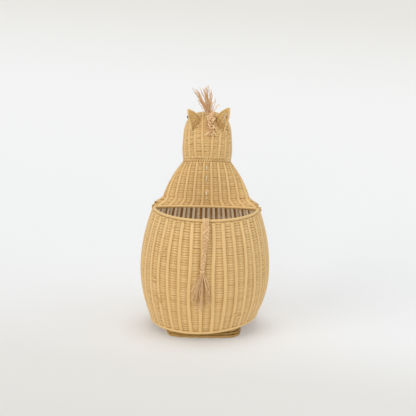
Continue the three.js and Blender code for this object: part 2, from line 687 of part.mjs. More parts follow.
function makeTail() {
  const around = new THREE.Shape(circle(tailLoopRadius, 16));
  around.holes.push(new THREE.Path(circle(tailLoopHole, 16)));
  const loop = new THREE.ExtrudeGeometry(around, { depth: TAIL_LOOP_WIDTH, bevelEnabled: false });
  loop.rotateY(Math.PI / 2);
  place("tail_loop", loop, raffia).position.set(-TAIL_LOOP_WIDTH / 2, -hoopRadius, rimCaneZ);

  const rounding = [0.15, 0.6, 0.87].map((wide) => {
    const share = -(BRAID_HALF_WIDTH * Math.sqrt(1 - wide * wide)) / BRAID_LENGTH;
    return { share, wide, thin: Math.max(wide, 0.5) };
  });
  const rest = [0, 0.25, 0.5, 0.75, 1].map((share) => {
    return { share, wide: lerp(1, BRAID_END_SHARE, share), thin: 1 };
  });
  const rings = [...rounding, ...rest].map(({ share, wide, thin }) => {
    const middle = braidMiddle(share, thin);
    return circle(1, 8).map((p) => {
      const offset = new THREE.Vector3(p.x * wide * BRAID_HALF_WIDTH, p.y * thin * BRAID_HALF_THICKNESS, 0);
      return offset.add(middle);
    });
  });
  place("tail_braid", skin(rings), raffia);

  const end = braidMiddle(1);
  const bindingWide = BRAID_END_SHARE * BRAID_HALF_WIDTH + BINDING_WALL;
  const bindingTop = end.z - GAP;
  const binding = new THREE.CylinderGeometry(1, 1, BINDING_LENGTH, 10).rotateX(Math.PI / 2);
  binding.scale(bindingWide, BRAID_HALF_THICKNESS, 1);
  place("tail_binding", binding, raffia).position.set(end.x, end.y, bindingTop - BINDING_LENGTH / 2);

  const rootZ = bindingTop - BINDING_LENGTH - GAP;
  const strands = Array.from({ length: TASSEL_STRAND_COUNT }, (_, k) => {
    const spread = (2 * k) / (TASSEL_STRAND_COUNT - 1) - 1;
    const length = TASSEL_LENGTH * (1 - TASSEL_RAGGEDNESS * (1 - Math.cos(2.4 * k)));
    const at = (share) =>
      new THREE.Vector3(
        end.x + TASSEL_LEAN * share + spread * lerp(0.5 * bindingWide, TASSEL_HALF_WIDTH, share ** 1.3),
        end.y + TASSEL_DEPTH * Math.cos(3 * k) * share,
        rootZ - share * length,
      );
    return strand([at(0), at(0.5), at(1)], [1, 1, 0.8, 0.4].map((share) => share * TASSEL_STRAND_RADIUS));
  });
  const knot = new THREE.CylinderGeometry(1, 1, TASSEL_KNOT_LENGTH, 10).rotateX(Math.PI / 2);
  knot.scale(bindingWide - BINDING_WALL, 0.7 * BRAID_HALF_THICKNESS, 1);
  knot.translate(end.x, end.y, rootZ - TASSEL_KNOT_LENGTH / 2);
  place("tail_tassel", fuse([knot, ...strands]), raffia);
}

makeFoot();
makeBase();
makeBody();
makeNeck();
makeRim();
makeHead();
makeEars();
makeEyes();
makeMane();
makeLacing();
makeTail();

export default basket;
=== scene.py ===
import math

import bpy
import numpy as np
from mathutils import Matrix, Vector


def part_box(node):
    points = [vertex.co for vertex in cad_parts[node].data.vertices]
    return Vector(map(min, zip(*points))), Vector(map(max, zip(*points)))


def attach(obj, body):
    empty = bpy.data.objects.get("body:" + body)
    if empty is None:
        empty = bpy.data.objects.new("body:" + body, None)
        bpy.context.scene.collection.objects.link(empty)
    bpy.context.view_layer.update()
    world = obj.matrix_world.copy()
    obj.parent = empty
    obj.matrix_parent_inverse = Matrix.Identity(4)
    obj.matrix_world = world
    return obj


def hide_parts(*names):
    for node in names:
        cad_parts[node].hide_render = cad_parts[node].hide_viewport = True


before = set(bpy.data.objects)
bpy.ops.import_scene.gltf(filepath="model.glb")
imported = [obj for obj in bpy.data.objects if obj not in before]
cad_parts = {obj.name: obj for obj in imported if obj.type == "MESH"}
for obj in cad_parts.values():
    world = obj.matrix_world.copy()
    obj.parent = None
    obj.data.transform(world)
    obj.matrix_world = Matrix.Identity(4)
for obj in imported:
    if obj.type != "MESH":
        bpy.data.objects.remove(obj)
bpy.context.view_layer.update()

scene = bpy.context.scene
scene.view_settings.view_transform = "Standard"


# The camera
# It stands behind the horse and a little above it, 3.5 m from its belly, and was held
# about a degree off level.

view_distance = 3.5
view_side = 0.0038
view_rise = math.radians(16.61)
view_pitch = math.radians(14.695)
view_roll = math.radians(1.16)
belly_level = 0.118
focal_pixels = 1772.7
picture_pixels = 416

camera_data = bpy.data.cameras.new("camera")
camera_data.sensor_width = 36
camera_data.lens = camera_data.sensor_width * focal_pixels / picture_pixels
camera = bpy.data.objects.new("camera", camera_data)
view_height = belly_level + view_distance * math.sin(view_rise)
view_place = Matrix.Translation((view_side, -view_distance * math.cos(view_rise), view_height))
view_tilt = Matrix.Rotation(math.pi / 2 - view_pitch, 4, "X")
camera.matrix_world = view_place @ view_tilt @ Matrix.Rotation(view_roll, 4, "Z")
scene.collection.objects.link(camera)
scene.camera = camera


# The light and the floor
# A pale studio floor that runs out of sight and glows a little, as one lit from below, under
# an even white room. Broad lamps stand low on the left and right, one hangs above, and a weak
# one behind the camera shines in at the mouth.

room_light = 0.53
room_colour = (0.88, 0.885, 0.89, 1)
# Each lamp's direction from the basket, its strength, its width in degrees and its tint.
lamps = {
    "left_lamp": ((-0.85, -0.65, 0.4), 0.9, 45, (1, 1, 0.98)),
    "front_lamp": ((-0.12, -1, 0.32), 0.38, 16, (1, 1, 1)),
    "right_lamp": ((0.95, -0.35, 0.3), 0.74, 50, (0.84, 0.92, 1)),
    "top_lamp": ((0.02, 0.1, 1), 0.72, 36, (1, 1, 1)),
}
floor_reach = 40
floor_glow = 0.2
floor_roughness = 0.9
floor_specular = 0.1
# The floor's colours on the way from near to far, in metres behind the body, and how much
# sooner they come on the right. They paint light and shade on the floor: darker in front and far off.
floor_near = -0.65
floor_far = 5
floor_slant = 0.3
floor_colours = {
    0.0: (0.66, 0.65, 0.62, 1), 0.05: (0.68, 0.67, 0.645, 1), 0.13: (0.765, 0.77, 0.77, 1),
    0.5: (0.775, 0.775, 0.77, 1), 1.0: (0.69, 0.675, 0.635, 1),
}
# Far out on all sides it fades to one colour, where it meets the room.
floor_rim = (0.765, 0.77, 0.775, 1)
floor_rim_reach = 3 * floor_far


def fill_inputs(tree, node, inputs):
    """Sets a node's inputs to values, or joins them to other nodes."""
    for socket, value in inputs.items():
        if isinstance(value, bpy.types.NodeSocket):
            tree.links.new(value, node.inputs[socket])
        else:
            node.inputs[socket].default_value = value


def add_node(tree, kind, inputs=None, **settings):
    """A new shader node with its settings and inputs."""
    node = tree.nodes.new("ShaderNode" + kind)
    for setting, value in settings.items():
        setattr(node, setting, value)
    fill_inputs(tree, node, inputs or {})
    return node


def add_range(tree, value, low, high, to_low, to_high):
    """A value spread from one range to another."""
    ends = {"From Min": low, "From Max": high, "To Min": to_low, "To Max": to_high}
    return add_node(tree, "MapRange", {"Value": value, **ends}).outputs["Result"]


def add_mix(tree, factor, first, second):
    """Two colours mixed."""
    colours = {"Factor": factor, "A": first, "B": second}
    return add_node(tree, "Mix", colours, data_type="RGBA").outputs["Result"]


world = bpy.data.worlds.new("room")
world.use_nodes = True
scene.world = world
tree = world.node_tree
room = tree.nodes["Background"]
fill_inputs(tree, room, {"Color": (1, 1, 1, 1), "Strength": room_light})
seen_room = add_node(tree, "Background", {"Color": room_colour, "Strength": 1})
rays = add_node(tree, "LightPath").outputs
sight = rays["Is Camera Ray"]
for ray in ("Is Glossy Ray", "Is Transmission Ray"):
    sight = add_node(tree, "Math", {0: sight, 1: rays[ray]}, operation="MAXIMUM").outputs[0]
choice = add_node(tree, "MixShader", {0: sight, 1: room.outputs[0], 2: seen_room.outputs[0]})
tree.links.new(choice.outputs[0], tree.nodes["World Output"].inputs["Surface"])

for name, (place, strength, width, tint) in lamps.items():
    lamp_data = bpy.data.lights.new(name, "SUN")
    lamp_data.energy = strength
    lamp_data.color = tint
    lamp_data.angle = math.radians(width)
    lamp = bpy.data.objects.new(name, lamp_data)
    lamp.rotation_euler = Vector(place).to_track_quat("Z", "Y").to_euler()
    scene.collection.objects.link(lamp)

floor_corners = [(x * floor_reach, y * floor_reach, 0) for x, y in ((-1, -1), (1, -1), (1, 1), (-1, 1))]
floor_mesh = bpy.data.meshes.new("floor")
floor_mesh.from_pydata(floor_corners, [], [(0, 1, 2, 3)])
floor = bpy.data.objects.new("floor", floor_mesh)
scene.collection.objects.link(floor)

floor_paint = bpy.data.materials.new("floor_paint")
floor_paint.use_nodes = True
tree = floor_paint.node_tree
place = add_node(tree, "TexCoord").outputs["Object"]
way = add_node(tree, "VectorMath", {0: place, 1: (floor_slant, 1, 0)}, operation="DOT_PRODUCT")
distance = add_node(tree, "VectorMath", {0: place}, operation="LENGTH")
ramp = add_node(tree, "ValToRGB", {"Fac": add_range(tree, way.outputs["Value"], floor_near, floor_far, 0, 1)})
ramp.color_ramp.interpolation = "EASE"
for share, tint in floor_colours.items():
    stops = ramp.color_ramp.elements
    stop = stops[int(share) * (len(stops) - 1)] if share in (0, 1) else stops.new(share)
    stop.color = tint
fade = add_range(tree, distance.outputs["Value"], floor_far, floor_rim_reach, 0, 1)
tint = add_mix(tree, fade, ramp.outputs["Color"], floor_rim)
fill_inputs(tree, tree.nodes["Principled BSDF"], {
    "Base Color": tint, "Roughness": floor_roughness, "Specular IOR Level": floor_specular,
    "Emission Color": tint, "Emission Strength": floor_glow,
})
floor_mesh.materials.append(floor_paint)


# The foot
# A squarish ring of three flat rattan strips laid on each other round short pegs, with a plain
# woven mat inside it. All are the brown of unpeeled cane, and are bound under the body.

foot_low, foot_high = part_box("foot_band")
foot_half = (foot_high - foot_low) / 2
foot_height = 0.014
foot_squareness = 6
foot_rows = 3
foot_row = foot_height / foot_rows
foot_half_width = 0.49 * foot_row
foot_half_thickness = 0.0011
foot_depth = 0.0024  # of the strips' middles, inside the foot's outer edge
foot_wave = 0.0007
foot_first_end = 0.13  # where the strips' ends meet, as a share of the way round, and from row to row
foot_next_end = 0.31
peg_count = 52
peg_half_width = 0.0019
peg_half_thickness = 0.0009
peg_depth = 0.004
peg_end = 0.0005  # how far the pegs end short of the foot's faces
# The handmade base: its sides bow up and its right side stands higher, less and less up to
# the belly.
base_radius = 0.1065
base_bow = 0.0052
base_lean = 0.0065
belly_z = 0.1183
belly_height = 0.098


def unit(vectors):
    return vectors / np.linalg.norm(vectors, axis=-1, keepdims=True)


def run_along(line):
    """How far along a line each of its points lies."""
    return np.concatenate([[0], np.cumsum(np.linalg.norm(np.diff(line, axis=0), axis=1))])


def points_at(places, run, line):
    """The points of a line at places along its run."""
    return np.stack([np.interp(places, run, side) for side in line.T], axis=-1)


def superellipse(turn, squareness):
    pull = 2 / squareness
    across = np.sign(np.cos(turn)) * np.abs(np.cos(turn)) ** pull
    ahead = np.sign(np.sin(turn)) * np.abs(np.sin(turn)) ** pull
    return across, ahead


def strip(line, outward, half_width, half_thickness, tone, seed, sides=6, squareness=2, pith=0):
    """A strip, cane or strand along a line, closed at its ends, with what its finish needs."""
    line = np.asarray(line, float)
    count = len(line)
    along = unit(np.gradient(line, axis=0))
    across = unit(np.cross(np.broadcast_to(outward, line.shape), along))
    outward = np.cross(along, across)
    turn = 2 * np.pi * (np.arange(sides) + 0.5) / sides
    swing, rise = superellipse(turn, squareness)
    wide = np.broadcast_to(half_width, count)[:, None, None] * swing[:, None]
    thick = np.broadcast_to(half_thickness, count)[:, None, None] * rise[:, None]
    points = line[:, None] + across[:, None] * wide + outward[:, None] * thick
    place = np.arange(count * sides).reshape(count, sides)
    after = np.roll(place, -1, axis=1)
    faces = [np.stack([place[:-1], after[:-1], after[1:], place[1:]], axis=-1).reshape(-1, 4)]
    for k in range(sides // 2 - 1):
        lid = np.array([k, k + 1, sides - 2 - k, sides - 1 - k])
        faces += [place[-1:, lid], place[:1, lid[::-1]]]
    girth = 4 * np.mean(half_width)
    marks = np.zeros((count, sides, 6))
    marks[..., 0] = np.broadcast_to(tone, count)[:, None]
    marks[..., 1] = np.abs(np.cos(turn))
    # The inner half takes the pale pith colour and glows there: partly its own colour, partly painted light.
    marks[..., 2] = np.broadcast_to(pith, count)[:, None] * (np.sin(turn) < 0)
    marks[..., 3] = run_along(line)[:, None]
    marks[..., 4] = girth * np.abs(np.arange(sides) / sides - 0.5)
    marks[..., 5] = seed
    return points.reshape(-1, 3), np.concatenate(faces), marks.reshape(-1, 6)


def bound_together(name, strips, material):
    """One piece made of many strips."""
    points, faces, marks = zip(*strips)
    starts = np.cumsum([0] + [len(part) for part in points[:-1]])
    mesh = bpy.data.meshes.new(name)
    faces = np.concatenate([part + start for part, start in zip(faces, starts)])
    mesh.from_pydata(np.concatenate(points), [], faces)
    mesh.shade_smooth()
    marks = np.concatenate(marks).astype(np.float32)
    for mark, kind, field, columns in (
        ("tone", "FLOAT", "value", slice(0, 1)),
        ("edge", "FLOAT", "value", slice(1, 2)),
        ("pith", "FLOAT", "value", slice(2, 3)),
        ("grain", "FLOAT_VECTOR", "vector", slice(3, 6)),
    ):
        mesh.attributes.new(mark, kind, "POINT").data.foreach_set(field, marks[:, columns].ravel())
    mesh.materials.append(material)
    piece = bpy.data.objects.new(name, mesh)
    scene.collection.objects.link(piece)
    return piece


def new_group(name, inputs, outputs):
    """An empty shader node group, with what comes in and what goes out."""
    group = bpy.data.node_groups.new(name, "ShaderNodeTree")
    for way, sockets in (("INPUT", inputs), ("OUTPUT", outputs)):
        for socket, kind in sockets.items():
            group.interface.new_socket(name=socket, in_out=way, socket_type=kind)
    return group, group.nodes.new("NodeGroupInput").outputs, group.nodes.new("NodeGroupOutput").inputs


# The plant's fibres, fine streaks along a strip, and its blotches.
blotch_stretch = (28, 60, 1)
fibre_group, given, results = new_group(
    "plant_fibre",
    dict.fromkeys(("Length", "Fineness"), "NodeSocketFloat"),
    dict.fromkeys(("Fibre", "Blotch"), "NodeSocketFloat"),
)
grain = add_node(fibre_group, "Attribute", attribute_name="grain").outputs["Vector"]
fibre_stretch = add_node(fibre_group, "CombineXYZ", {"X": given["Length"], "Y": given["Fineness"], "Z": 1})
for mask, stretch, detail, roughness in (
    ("Fibre", fibre_stretch.outputs["Vector"], 3, 0.6),
    ("Blotch", blotch_stretch, 2, 0.5),
):
    place = add_node(fibre_group, "VectorMath", {0: grain, 1: stretch}, operation="MULTIPLY")
    noise = {"Vector": place.outputs["Vector"], "Scale": 1, "Detail": detail, "Roughness": roughness}
    fibre_group.links.new(add_node(fibre_group, "TexNoise", noise).outputs["Fac"], results[mask])

# The strips' colours: each strip's own tone, which also holds painted shade where a strip dips
# between the canes, darker at its cut edges and in its fibres. The inner side takes the pith
# colour, partly its own paler colour and partly a painted highlight, and glows there as painted
# light. The ranges say from where to where a mark counts, and how much it darkens at most.
blotch_range = (0.45, 0.75, 0, 0.55)
streak_range = (0.5, 0.8, 0, 1)
edge_range = (0.6, 1, 0, 0.3)
tone_group, given, results = new_group(
    "strip_colour",
    {
        **dict.fromkeys(("Light", "Dark", "Cut Edge", "Pith And Painted Light"), "NodeSocketColor"),
        **dict.fromkeys(("Fibre", "Blotch", "Streaks"), "NodeSocketFloat"),
    },
    dict.fromkeys(("Colour", "Painted Light"), "NodeSocketColor"),
)
own_tone, own_edge, own_pith = (
    add_node(tone_group, "Attribute", attribute_name=mark).outputs["Fac"] for mark in ("tone", "edge", "pith")
)
tint = add_mix(tone_group, own_tone, given["Light"], given["Dark"])
tint = add_mix(tone_group, add_range(tone_group, given["Blotch"], *blotch_range), tint, given["Dark"])
streak = {0: add_range(tone_group, given["Fibre"], *streak_range), 1: given["Streaks"]}
streak_depth = add_node(tone_group, "Math", streak, operation="MULTIPLY").outputs[0]
tint = add_mix(tone_group, streak_depth, tint, given["Cut Edge"])
tint = add_mix(tone_group, add_range(tone_group, own_edge, *edge_range), tint, given["Cut Edge"])
tone_group.links.new(add_mix(tone_group, own_pith, tint, given["Pith And Painted Light"]), results["Colour"])
# Painted light: the pale inner side glows in its own colour.
tone_group.links.new(add_mix(tone_group, own_pith, (0, 0, 0, 1), given["Pith And Painted Light"]), results["Painted Light"])

plant_specular = 0.55
fibre_relief = 0.0003
pith_glow = 0.32  # how strongly the pale inner side glows: painted light that stands in for light reaching the inside of the basket


def colour(tint):
    """A colour as it looks on paper, from 0 to 255, in the shader's own values."""
    shares = [value / 255 for value in tint]
    return tuple(s / 12.92 if s <= 0.04045 else ((s + 0.055) / 1.055) ** 2.4 for s in shares) + (1,)


def plant_finish(name, light, dark, cut_edge, streaks, rough, bump, length=90, fineness=2600, pith=None):
    """The finish of one kind of rattan or raffia, with fibres of a length and a fineness."""
    material = bpy.data.materials.new(name)
    material.use_nodes = True
    tree = material.node_tree
    fibres = {"Length": length, "Fineness": fineness}
    plant = add_node(tree, "Group", fibres, node_tree=fibre_group).outputs
    tints = {"Light": light, "Dark": dark, "Cut Edge": cut_edge, "Pith And Painted Light": pith or light}
    dress = {socket: colour(tint) for socket, tint in tints.items()}
    dress.update({"Fibre": plant["Fibre"], "Blotch": plant["Blotch"], "Streaks": streaks})
    dress = add_node(tree, "Group", dress, node_tree=tone_group).outputs
    relief = {"Strength": bump, "Distance": fibre_relief, "Height": plant["Fibre"]}
    fill_inputs(tree, tree.nodes["Principled BSDF"], {
        "Base Color": dress["Colour"],
        # The pale inner side glows: painted light inside the basket.
        "Emission Color": dress["Painted Light"],
        "Emission Strength": pith_glow,
        "Roughness": add_range(tree, plant["Fibre"], 0, 1, *rough),
        "Specular IOR Level": plant_specular,
        "Normal": add_node(tree, "Bump", relief).outputs["Normal"],
    })
    return material


def bend_base(points):
    """Bends up the sides of the base: less and less down to the ground and up to the belly."""
    side = points[:, 0] / base_radius
    in_wall = np.clip((belly_z - points[:, 2]) / belly_height, 0, 1) ** 2
    hold = np.where(points[:, 2] < foot_height, points[:, 2] / foot_height, in_wall)
    bent_points = points.copy()
    bent_points[:, 2] += hold * (base_bow * side**2 + base_lean * side)
    return bent_points


foot_rattan = plant_finish(
    "foot_rattan", (198, 158, 82), (158, 118, 56), (104, 72, 32), 0.6, (0.5, 0.75), 0.5
)
draw = np.random.default_rng(34)
foot_path = np.stack(superellipse(np.linspace(0, 2 * np.pi, 2001), foot_squareness), axis=1)
foot_run = run_along(foot_path)


def round_foot(share, depth, height):
    """Points round the foot at a depth inside its edge, and where they lie on that edge."""
    edge = points_at(share % 1 * foot_run[-1], foot_run, foot_path)
    inner = (np.array(foot_half)[:2] - np.expand_dims(depth, -1)) * edge
    line = np.column_stack([inner, np.broadcast_to(height, len(edge))])
    return bend_base(line), np.column_stack([edge, 0 * share])


foot_strips = []
for row in range(foot_rows):
    share = np.linspace(0, 1, 521) + foot_first_end + foot_next_end * row
    depth = foot_depth - foot_wave * np.sin(np.pi * (peg_count * share + row))
    line, edge = round_foot(share, depth, (row + 0.5) * foot_row)
    outward = unit(np.sign(edge) * np.abs(edge) ** (foot_squareness - 1))
    tone = draw.uniform(0.2, 0.9)
    foot_strips.append(strip(line, outward, foot_half_width, foot_half_thickness, tone, row, sides=8))
for k in range(peg_count):
    rise = np.linspace(peg_end, foot_height - peg_end, 5)
    line, edge = round_foot(np.full(5, (k + 0.5) / peg_count), peg_depth, rise)
    foot_strips.append(strip(line, edge, peg_half_width, peg_half_thickness, draw.uniform(0.3, 1), k))
foot_band = bound_together("foot_band_strips", foot_strips, foot_rattan)
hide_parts("foot_band")
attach(foot_band, "basket")

mat_low, mat_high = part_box("foot_mat")
mat_level = mat_low.z + 0.0038
mat_pitch = 0.0082
mat_wave = 0.0011
mat_half_width = 0.0036
mat_half_thickness = 0.0009
mat_strips = []
for is_cross in (False, True):
    reach, length = (mat_high.y, mat_high.x) if is_cross else (mat_high.x, mat_high.y)
    count = int(2 * reach / mat_pitch)
    for k in range(count):
        side = (2 * k + 1) / count - 1
        half = length * (1 - abs(side) ** foot_squareness) ** (1 / foot_squareness)
        run = np.linspace(-half, half, 90)
        lift = mat_wave * np.sin(np.pi * (run / mat_pitch + 0.5)) * (-1) ** (k + is_cross)
        line = np.column_stack([run, np.full_like(run, reach * side), mat_level + lift])
        line = line if is_cross else line[:, [1, 0, 2]]
        mat_strips.append(strip(line, (0, 0, 1), mat_half_width, mat_half_thickness, draw.random(), k))
foot_mat = bound_together("foot_mat_strips", mat_strips, foot_rattan)
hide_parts("foot_mat")
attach(foot_mat, "basket")


# The basket's floor and its border
# Thirty-four spokes with strips woven round them in rings, and a thick cane round the outside,
# whose two ends overlap at the back.

floor_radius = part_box("base_mat")[1].x
floor_level = foot_height + 0.0028
floor_rows = 18
floor_inner_rows = 6  # which take the spokes in fours, and the others in twos
floor_half_width = 0.0024
floor_half_thickness = 0.0009
floor_wave = 0.0014
hub_radius = 0.012
floor_steps = 10
spoke_count = 34
spoke_half_width = 0.0016
spoke_half_thickness = 0.0012
long_spoke_start = 0.003
short_spoke_start = 0.036
border_cane = 0.003
border_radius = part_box("base_border")[1].x - border_cane - 0.0004
border_overlap = 0.3  # radians that its first end runs back past its last
border_slip = 0.06  # radians in which the first end slips in and up behind the last
border_slip_in = 1.2 * border_cane
border_slip_up = 0.0016

# The inner sides' pale colour, which also glows: partly the cane's own paler inside, partly a painted
# highlight and painted light.
pith_colour = (218, 204, 178)
cane_finish = plant_finish(
    "smooth_cane", (230, 194, 132), (220, 182, 118), (204, 162, 100), 0.25, (0.34, 0.52), 0.18,
    length=40, fineness=1500, pith=pith_colour,
)
strip_finish = plant_finish(
    "woven_strip", (236, 200, 138), (206, 164, 100), (158, 114, 60), 0.6, (0.42, 0.66), 0.4, pith=pith_colour
)


def weave_wave(phase, narrowness=7):
    """0 where a strip passes outside, 1 where it passes behind a stake that shows."""
    return (0.5 + 0.5 * np.cos(2 * np.pi * phase)) ** narrowness


def once_round(count, steps):
    """The way round a ring of stakes, from any one of them and back to it."""
    return np.linspace(0, count, count * steps + 1) + draw.integers(count)


def ring(reach, turn, height):
    """Points round the basket's middle."""
    return np.stack(np.broadcast_arrays(reach * np.cos(turn), reach * np.sin(turn), height), axis=-1)


floor_strips = []
for row in range(floor_rows):
    reach = hub_radius + (floor_radius - hub_radius) * (row + 0.5) / floor_rows
    periods = spoke_count // (4 if row < floor_inner_rows else 2)
    phase = once_round(periods, floor_steps)
    lift = floor_wave * (0.5 - weave_wave(phase + 0.5 * (row % 2)))
    line = bend_base(ring(reach, 2 * np.pi * phase / periods, floor_level + lift))
    floor_strips.append(strip(line, (0, 0, 1), floor_half_width, floor_half_thickness, draw.random(), row))
for k in range(spoke_count):
    run = np.linspace(short_spoke_start if k % 4 else long_spoke_start, floor_radius, 24)
    line = bend_base(ring(run, 2 * np.pi * k / spoke_count, floor_level))
    floor_strips.append(strip(line, (0, 0, 1), spoke_half_width, spoke_half_thickness, draw.random(), k))
basket_floor = bound_together("basket_floor_weave", floor_strips, strip_finish)
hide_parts("base_mat")
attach(basket_floor, "basket")

turn = np.linspace(-np.pi / 2 - border_overlap, 1.5 * np.pi + 0.02, 361)
slip = np.clip(-(turn + np.pi / 2 + border_slip) / border_slip, 0, 1)
level = foot_height + border_cane + border_slip_up * slip
line = bend_base(ring(border_radius - border_slip_in * slip, turn, level))
border_strip = strip(line, ring(1, turn, 0), border_cane, border_cane, 0.4, 0, sides=12)
border = bound_together("base_border_cane", [border_strip], cane_finish)
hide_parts("base_border")
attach(border, "basket")


# The body
# Thirty-four canes that show outside, as many hidden in the wall between them, and forty-five
# flat strips woven round, outside the hidden canes and behind the others. Here and there the
# ends of strips stick out.

stake_count = 34
stake_radius = 0.0037
stake_half_thickness = 0.0021
stake_proud = 0.0001  # how far the canes stand out of the wall
stake_lead = math.radians(2.5)  # how far the canes stand to the right of evenly about the tail
stake_share = np.linspace(-0.018, 0.998, 44)
cane_squareness = 2.6
cane_bulge = 0.0008  # how far the strips stand out over a hidden cane
hidden_half_width = 0.0027
hidden_half_thickness = 0.0023
hidden_depth = stake_radius + 0.0019
wall_row_count = 45
lower_row_count = 23
wall_strip_half_width = 0.00245
wall_strip_half_thickness = 0.001
# How much a wall strip's tone comes from its own, from its places, and from painted shade where it dips
# between the canes.
wall_tones = (0.3, 0.25, 0.6)
steps_per_stake = 14
row_wander = 0.03
row_nudge = 0.025
depth_wander = 0.0001
belly_radius = 0.127
rim_radius = 0.105
wall_foot = belly_z - belly_height
wall_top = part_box("body_wall")[1].z
# Where strip ends stick out of the wall: the angle, the share of its height, and how many.
wall_stray_ends = (
    (3.93, 0.7, 7), (3.80, 0.45, 5), (3.9, 0.28, 4), (5.25, 0.13, 4), (5.6, 0.93, 4), (4.1, 0.95, 3),
)
stray_half_thickness = 0.0005
full_turn = 6.3  # radians, near enough for a random start


def body_reach(height):
    """How far the wall stands out from the middle at a height."""
    below = (height - belly_z) / (belly_z - wall_foot)
    above = (height - belly_z) / (wall_top - belly_z)
    low = belly_radius - (belly_radius - base_radius) * below**2
    high = belly_radius - (belly_radius - rim_radius) * above**2
    return np.where(height < belly_z, low, high)


def body_surface(share, turn):
    height = wall_foot + share * (wall_top - wall_foot)
    return ring(body_reach(height), turn, height)


def body_turn(phase):
    return 2 * np.pi * (phase + 0.5) / stake_count - np.pi / 2 + stake_lead


def under(surface, share, turn, depth):
    """Points at a depth under a woven surface, and the directions out of it there."""
    small = 1e-3
    upward = surface(share + small, turn) - surface(share - small, turn)
    onward = surface(share, turn + small) - surface(share, turn - small)
    out = unit(np.cross(onward, upward))
    return surface(share, turn) - out * np.asarray(depth)[..., None], out


def woven_in(surface, share, turn, depth, *form, **finer):
    """A strip at a depth under a woven surface. The bend of the base ends at the belly."""
    line, out = under(surface, share, turn, depth)
    return strip(bend_base(line), out, *form, **finer)


def stray_end(surface, share, turn, root, rise, half_width, tone, seed):
    """A strip's end that comes out of the weave and goes back in."""
    depth = root - rise * np.sin(np.pi * np.linspace(0, 1, len(turn))) ** 0.6
    return woven_in(surface, share, turn, depth, half_width, stray_half_thickness, tone, seed)


def drift(turn, size, waves):
    """A slow wander round a ring that closes on itself."""
    total = np.zeros_like(turn)
    for k in range(1, waves + 1):
        total += draw.normal(0, size / math.sqrt(waves)) * np.sin(k * turn + draw.uniform(0, full_turn))
    return total


def from_cane_to_cane(phase, values):
    """Values at the canes round a ring, and between them at any phase."""
    count = len(values) - 1
    return np.interp(phase % count, np.arange(count + 1), values)


def tone_with_painted_shade(own, phase, count, bulge, weights):
    """A strip's tone, from its own, those of its places, and painted shade where it dips between the canes.
    """
    places = from_cane_to_cane(phase, draw.random(count + 1))
    return weights[0] * own + weights[1] * places + weights[2] * (1 - bulge)


wall_rows = []
for row in range(wall_row_count):
    phase = once_round(stake_count, steps_per_stake)
    turn = body_turn(phase)
    nudge = from_cane_to_cane(2 * phase, draw.normal(0, row_nudge, 2 * stake_count + 1))
    share = (row + 0.5 + drift(turn, row_wander, 4) + nudge) / (wall_row_count - 0.2)
    outer = wall_strip_half_thickness + 0.0001 * draw.random()
    inner = 2 * stake_half_thickness + wall_strip_half_thickness
    behind = weave_wave(phase)
    bulge = weave_wave(phase + 0.5, 4)
    depth = outer + (inner - outer) * behind + cane_bulge * (1 - bulge) + drift(turn, depth_wander, 9)
    splice = draw.random()
    own = np.where(np.linspace(0, 1, len(turn)) < splice, draw.random(), draw.random())
    tone = tone_with_painted_shade(own, phase, stake_count, bulge, wall_tones)
    # Where a strip passes behind a cane that shows, it bulges into the basket; there its inner side takes the
    # pith colour and glows, a painted highlight and painted light.
    wall_rows.append(woven_in(
        body_surface, share, turn, depth, wall_strip_half_width, wall_strip_half_thickness, tone, row,
        sides=8, squareness=cane_squareness, pith=behind,
    ))
for angle, level, count in wall_stray_ends:
    for k in range(count):
        t = np.linspace(0, 1, 14)
        turn = angle + draw.uniform(-0.05, 0.05) + draw.uniform(0.05, 0.12) * t
        share = level + draw.uniform(-0.035, 0.035) + draw.uniform(-0.018, 0.018) * t
        tone = 0.3 * draw.random()
        wall_rows.append(stray_end(
            body_surface, share, turn, root=0.0012, rise=0.0034, half_width=0.0012, tone=tone, seed=k
        ))
for name, rows, nodes in (
    ("body_weave_lower", wall_rows[:lower_row_count], ["body_wall"]),
    ("body_weave_upper", wall_rows[lower_row_count:], []),
):
    piece = bound_together(name, rows, strip_finish)
    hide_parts(*nodes)
    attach(piece, "basket")

hidden_canes = []
for k in range(stake_count):
    waver = 0.05 * np.sin(stake_share * draw.uniform(4, 9) + draw.uniform(0, 6))
    half_width = stake_radius * (1 + 0.04 * np.sin(np.linspace(0, 30, len(stake_share)) + k))
    cane = woven_in(
        body_surface, stake_share, body_turn(k + waver), stake_half_thickness - stake_proud, half_width,
        stake_half_thickness, 0.15 + 0.5 * draw.random(), k, sides=14, squareness=cane_squareness,
    )
    name = f"stake_{k + 1:02d}"
    piece = bound_together(name + "_cane", [cane], cane_finish)
    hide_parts(name)
    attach(piece, "basket")
    # Their inner sides take the pith colour and glow: partly the cane's paler inside, partly painted light.
    hidden_canes.append(woven_in(
        body_surface, stake_share, body_turn(k + 0.5), hidden_depth, hidden_half_width, hidden_half_thickness,
        draw.random(), k, sides=8, pith=1,
    ))
piece = bound_together("body_hidden_canes", hidden_canes, cane_finish)
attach(piece, "basket")


# The rim
# One cane bent round the mouth, turned in at both sides of the neck, and carried across the
# foot of the neck as a bar.

rim_cane = 0.0027
rim_low, rim_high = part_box("rim_hoop")
rim_level = (rim_low.z + rim_high.z) / 2
hoop_radius = rim_high.x - rim_cane
corner_y = -0.006
corner_length = 0.010
bar_bow = 0.015
gap = 0.0003


def bent(start, middle, end, count):
    """Points on the curve from start to end that leaves towards middle."""
    t = np.linspace(0, 1, count)[:, None]
    return (1 - t) ** 2 * start + 2 * t * (1 - t) * middle + t**2 * end


def bar_y(x):
    return corner_y + bar_bow * np.sqrt(np.maximum(0, 1 - (x / rim_radius) ** 2)) - rim_cane - gap


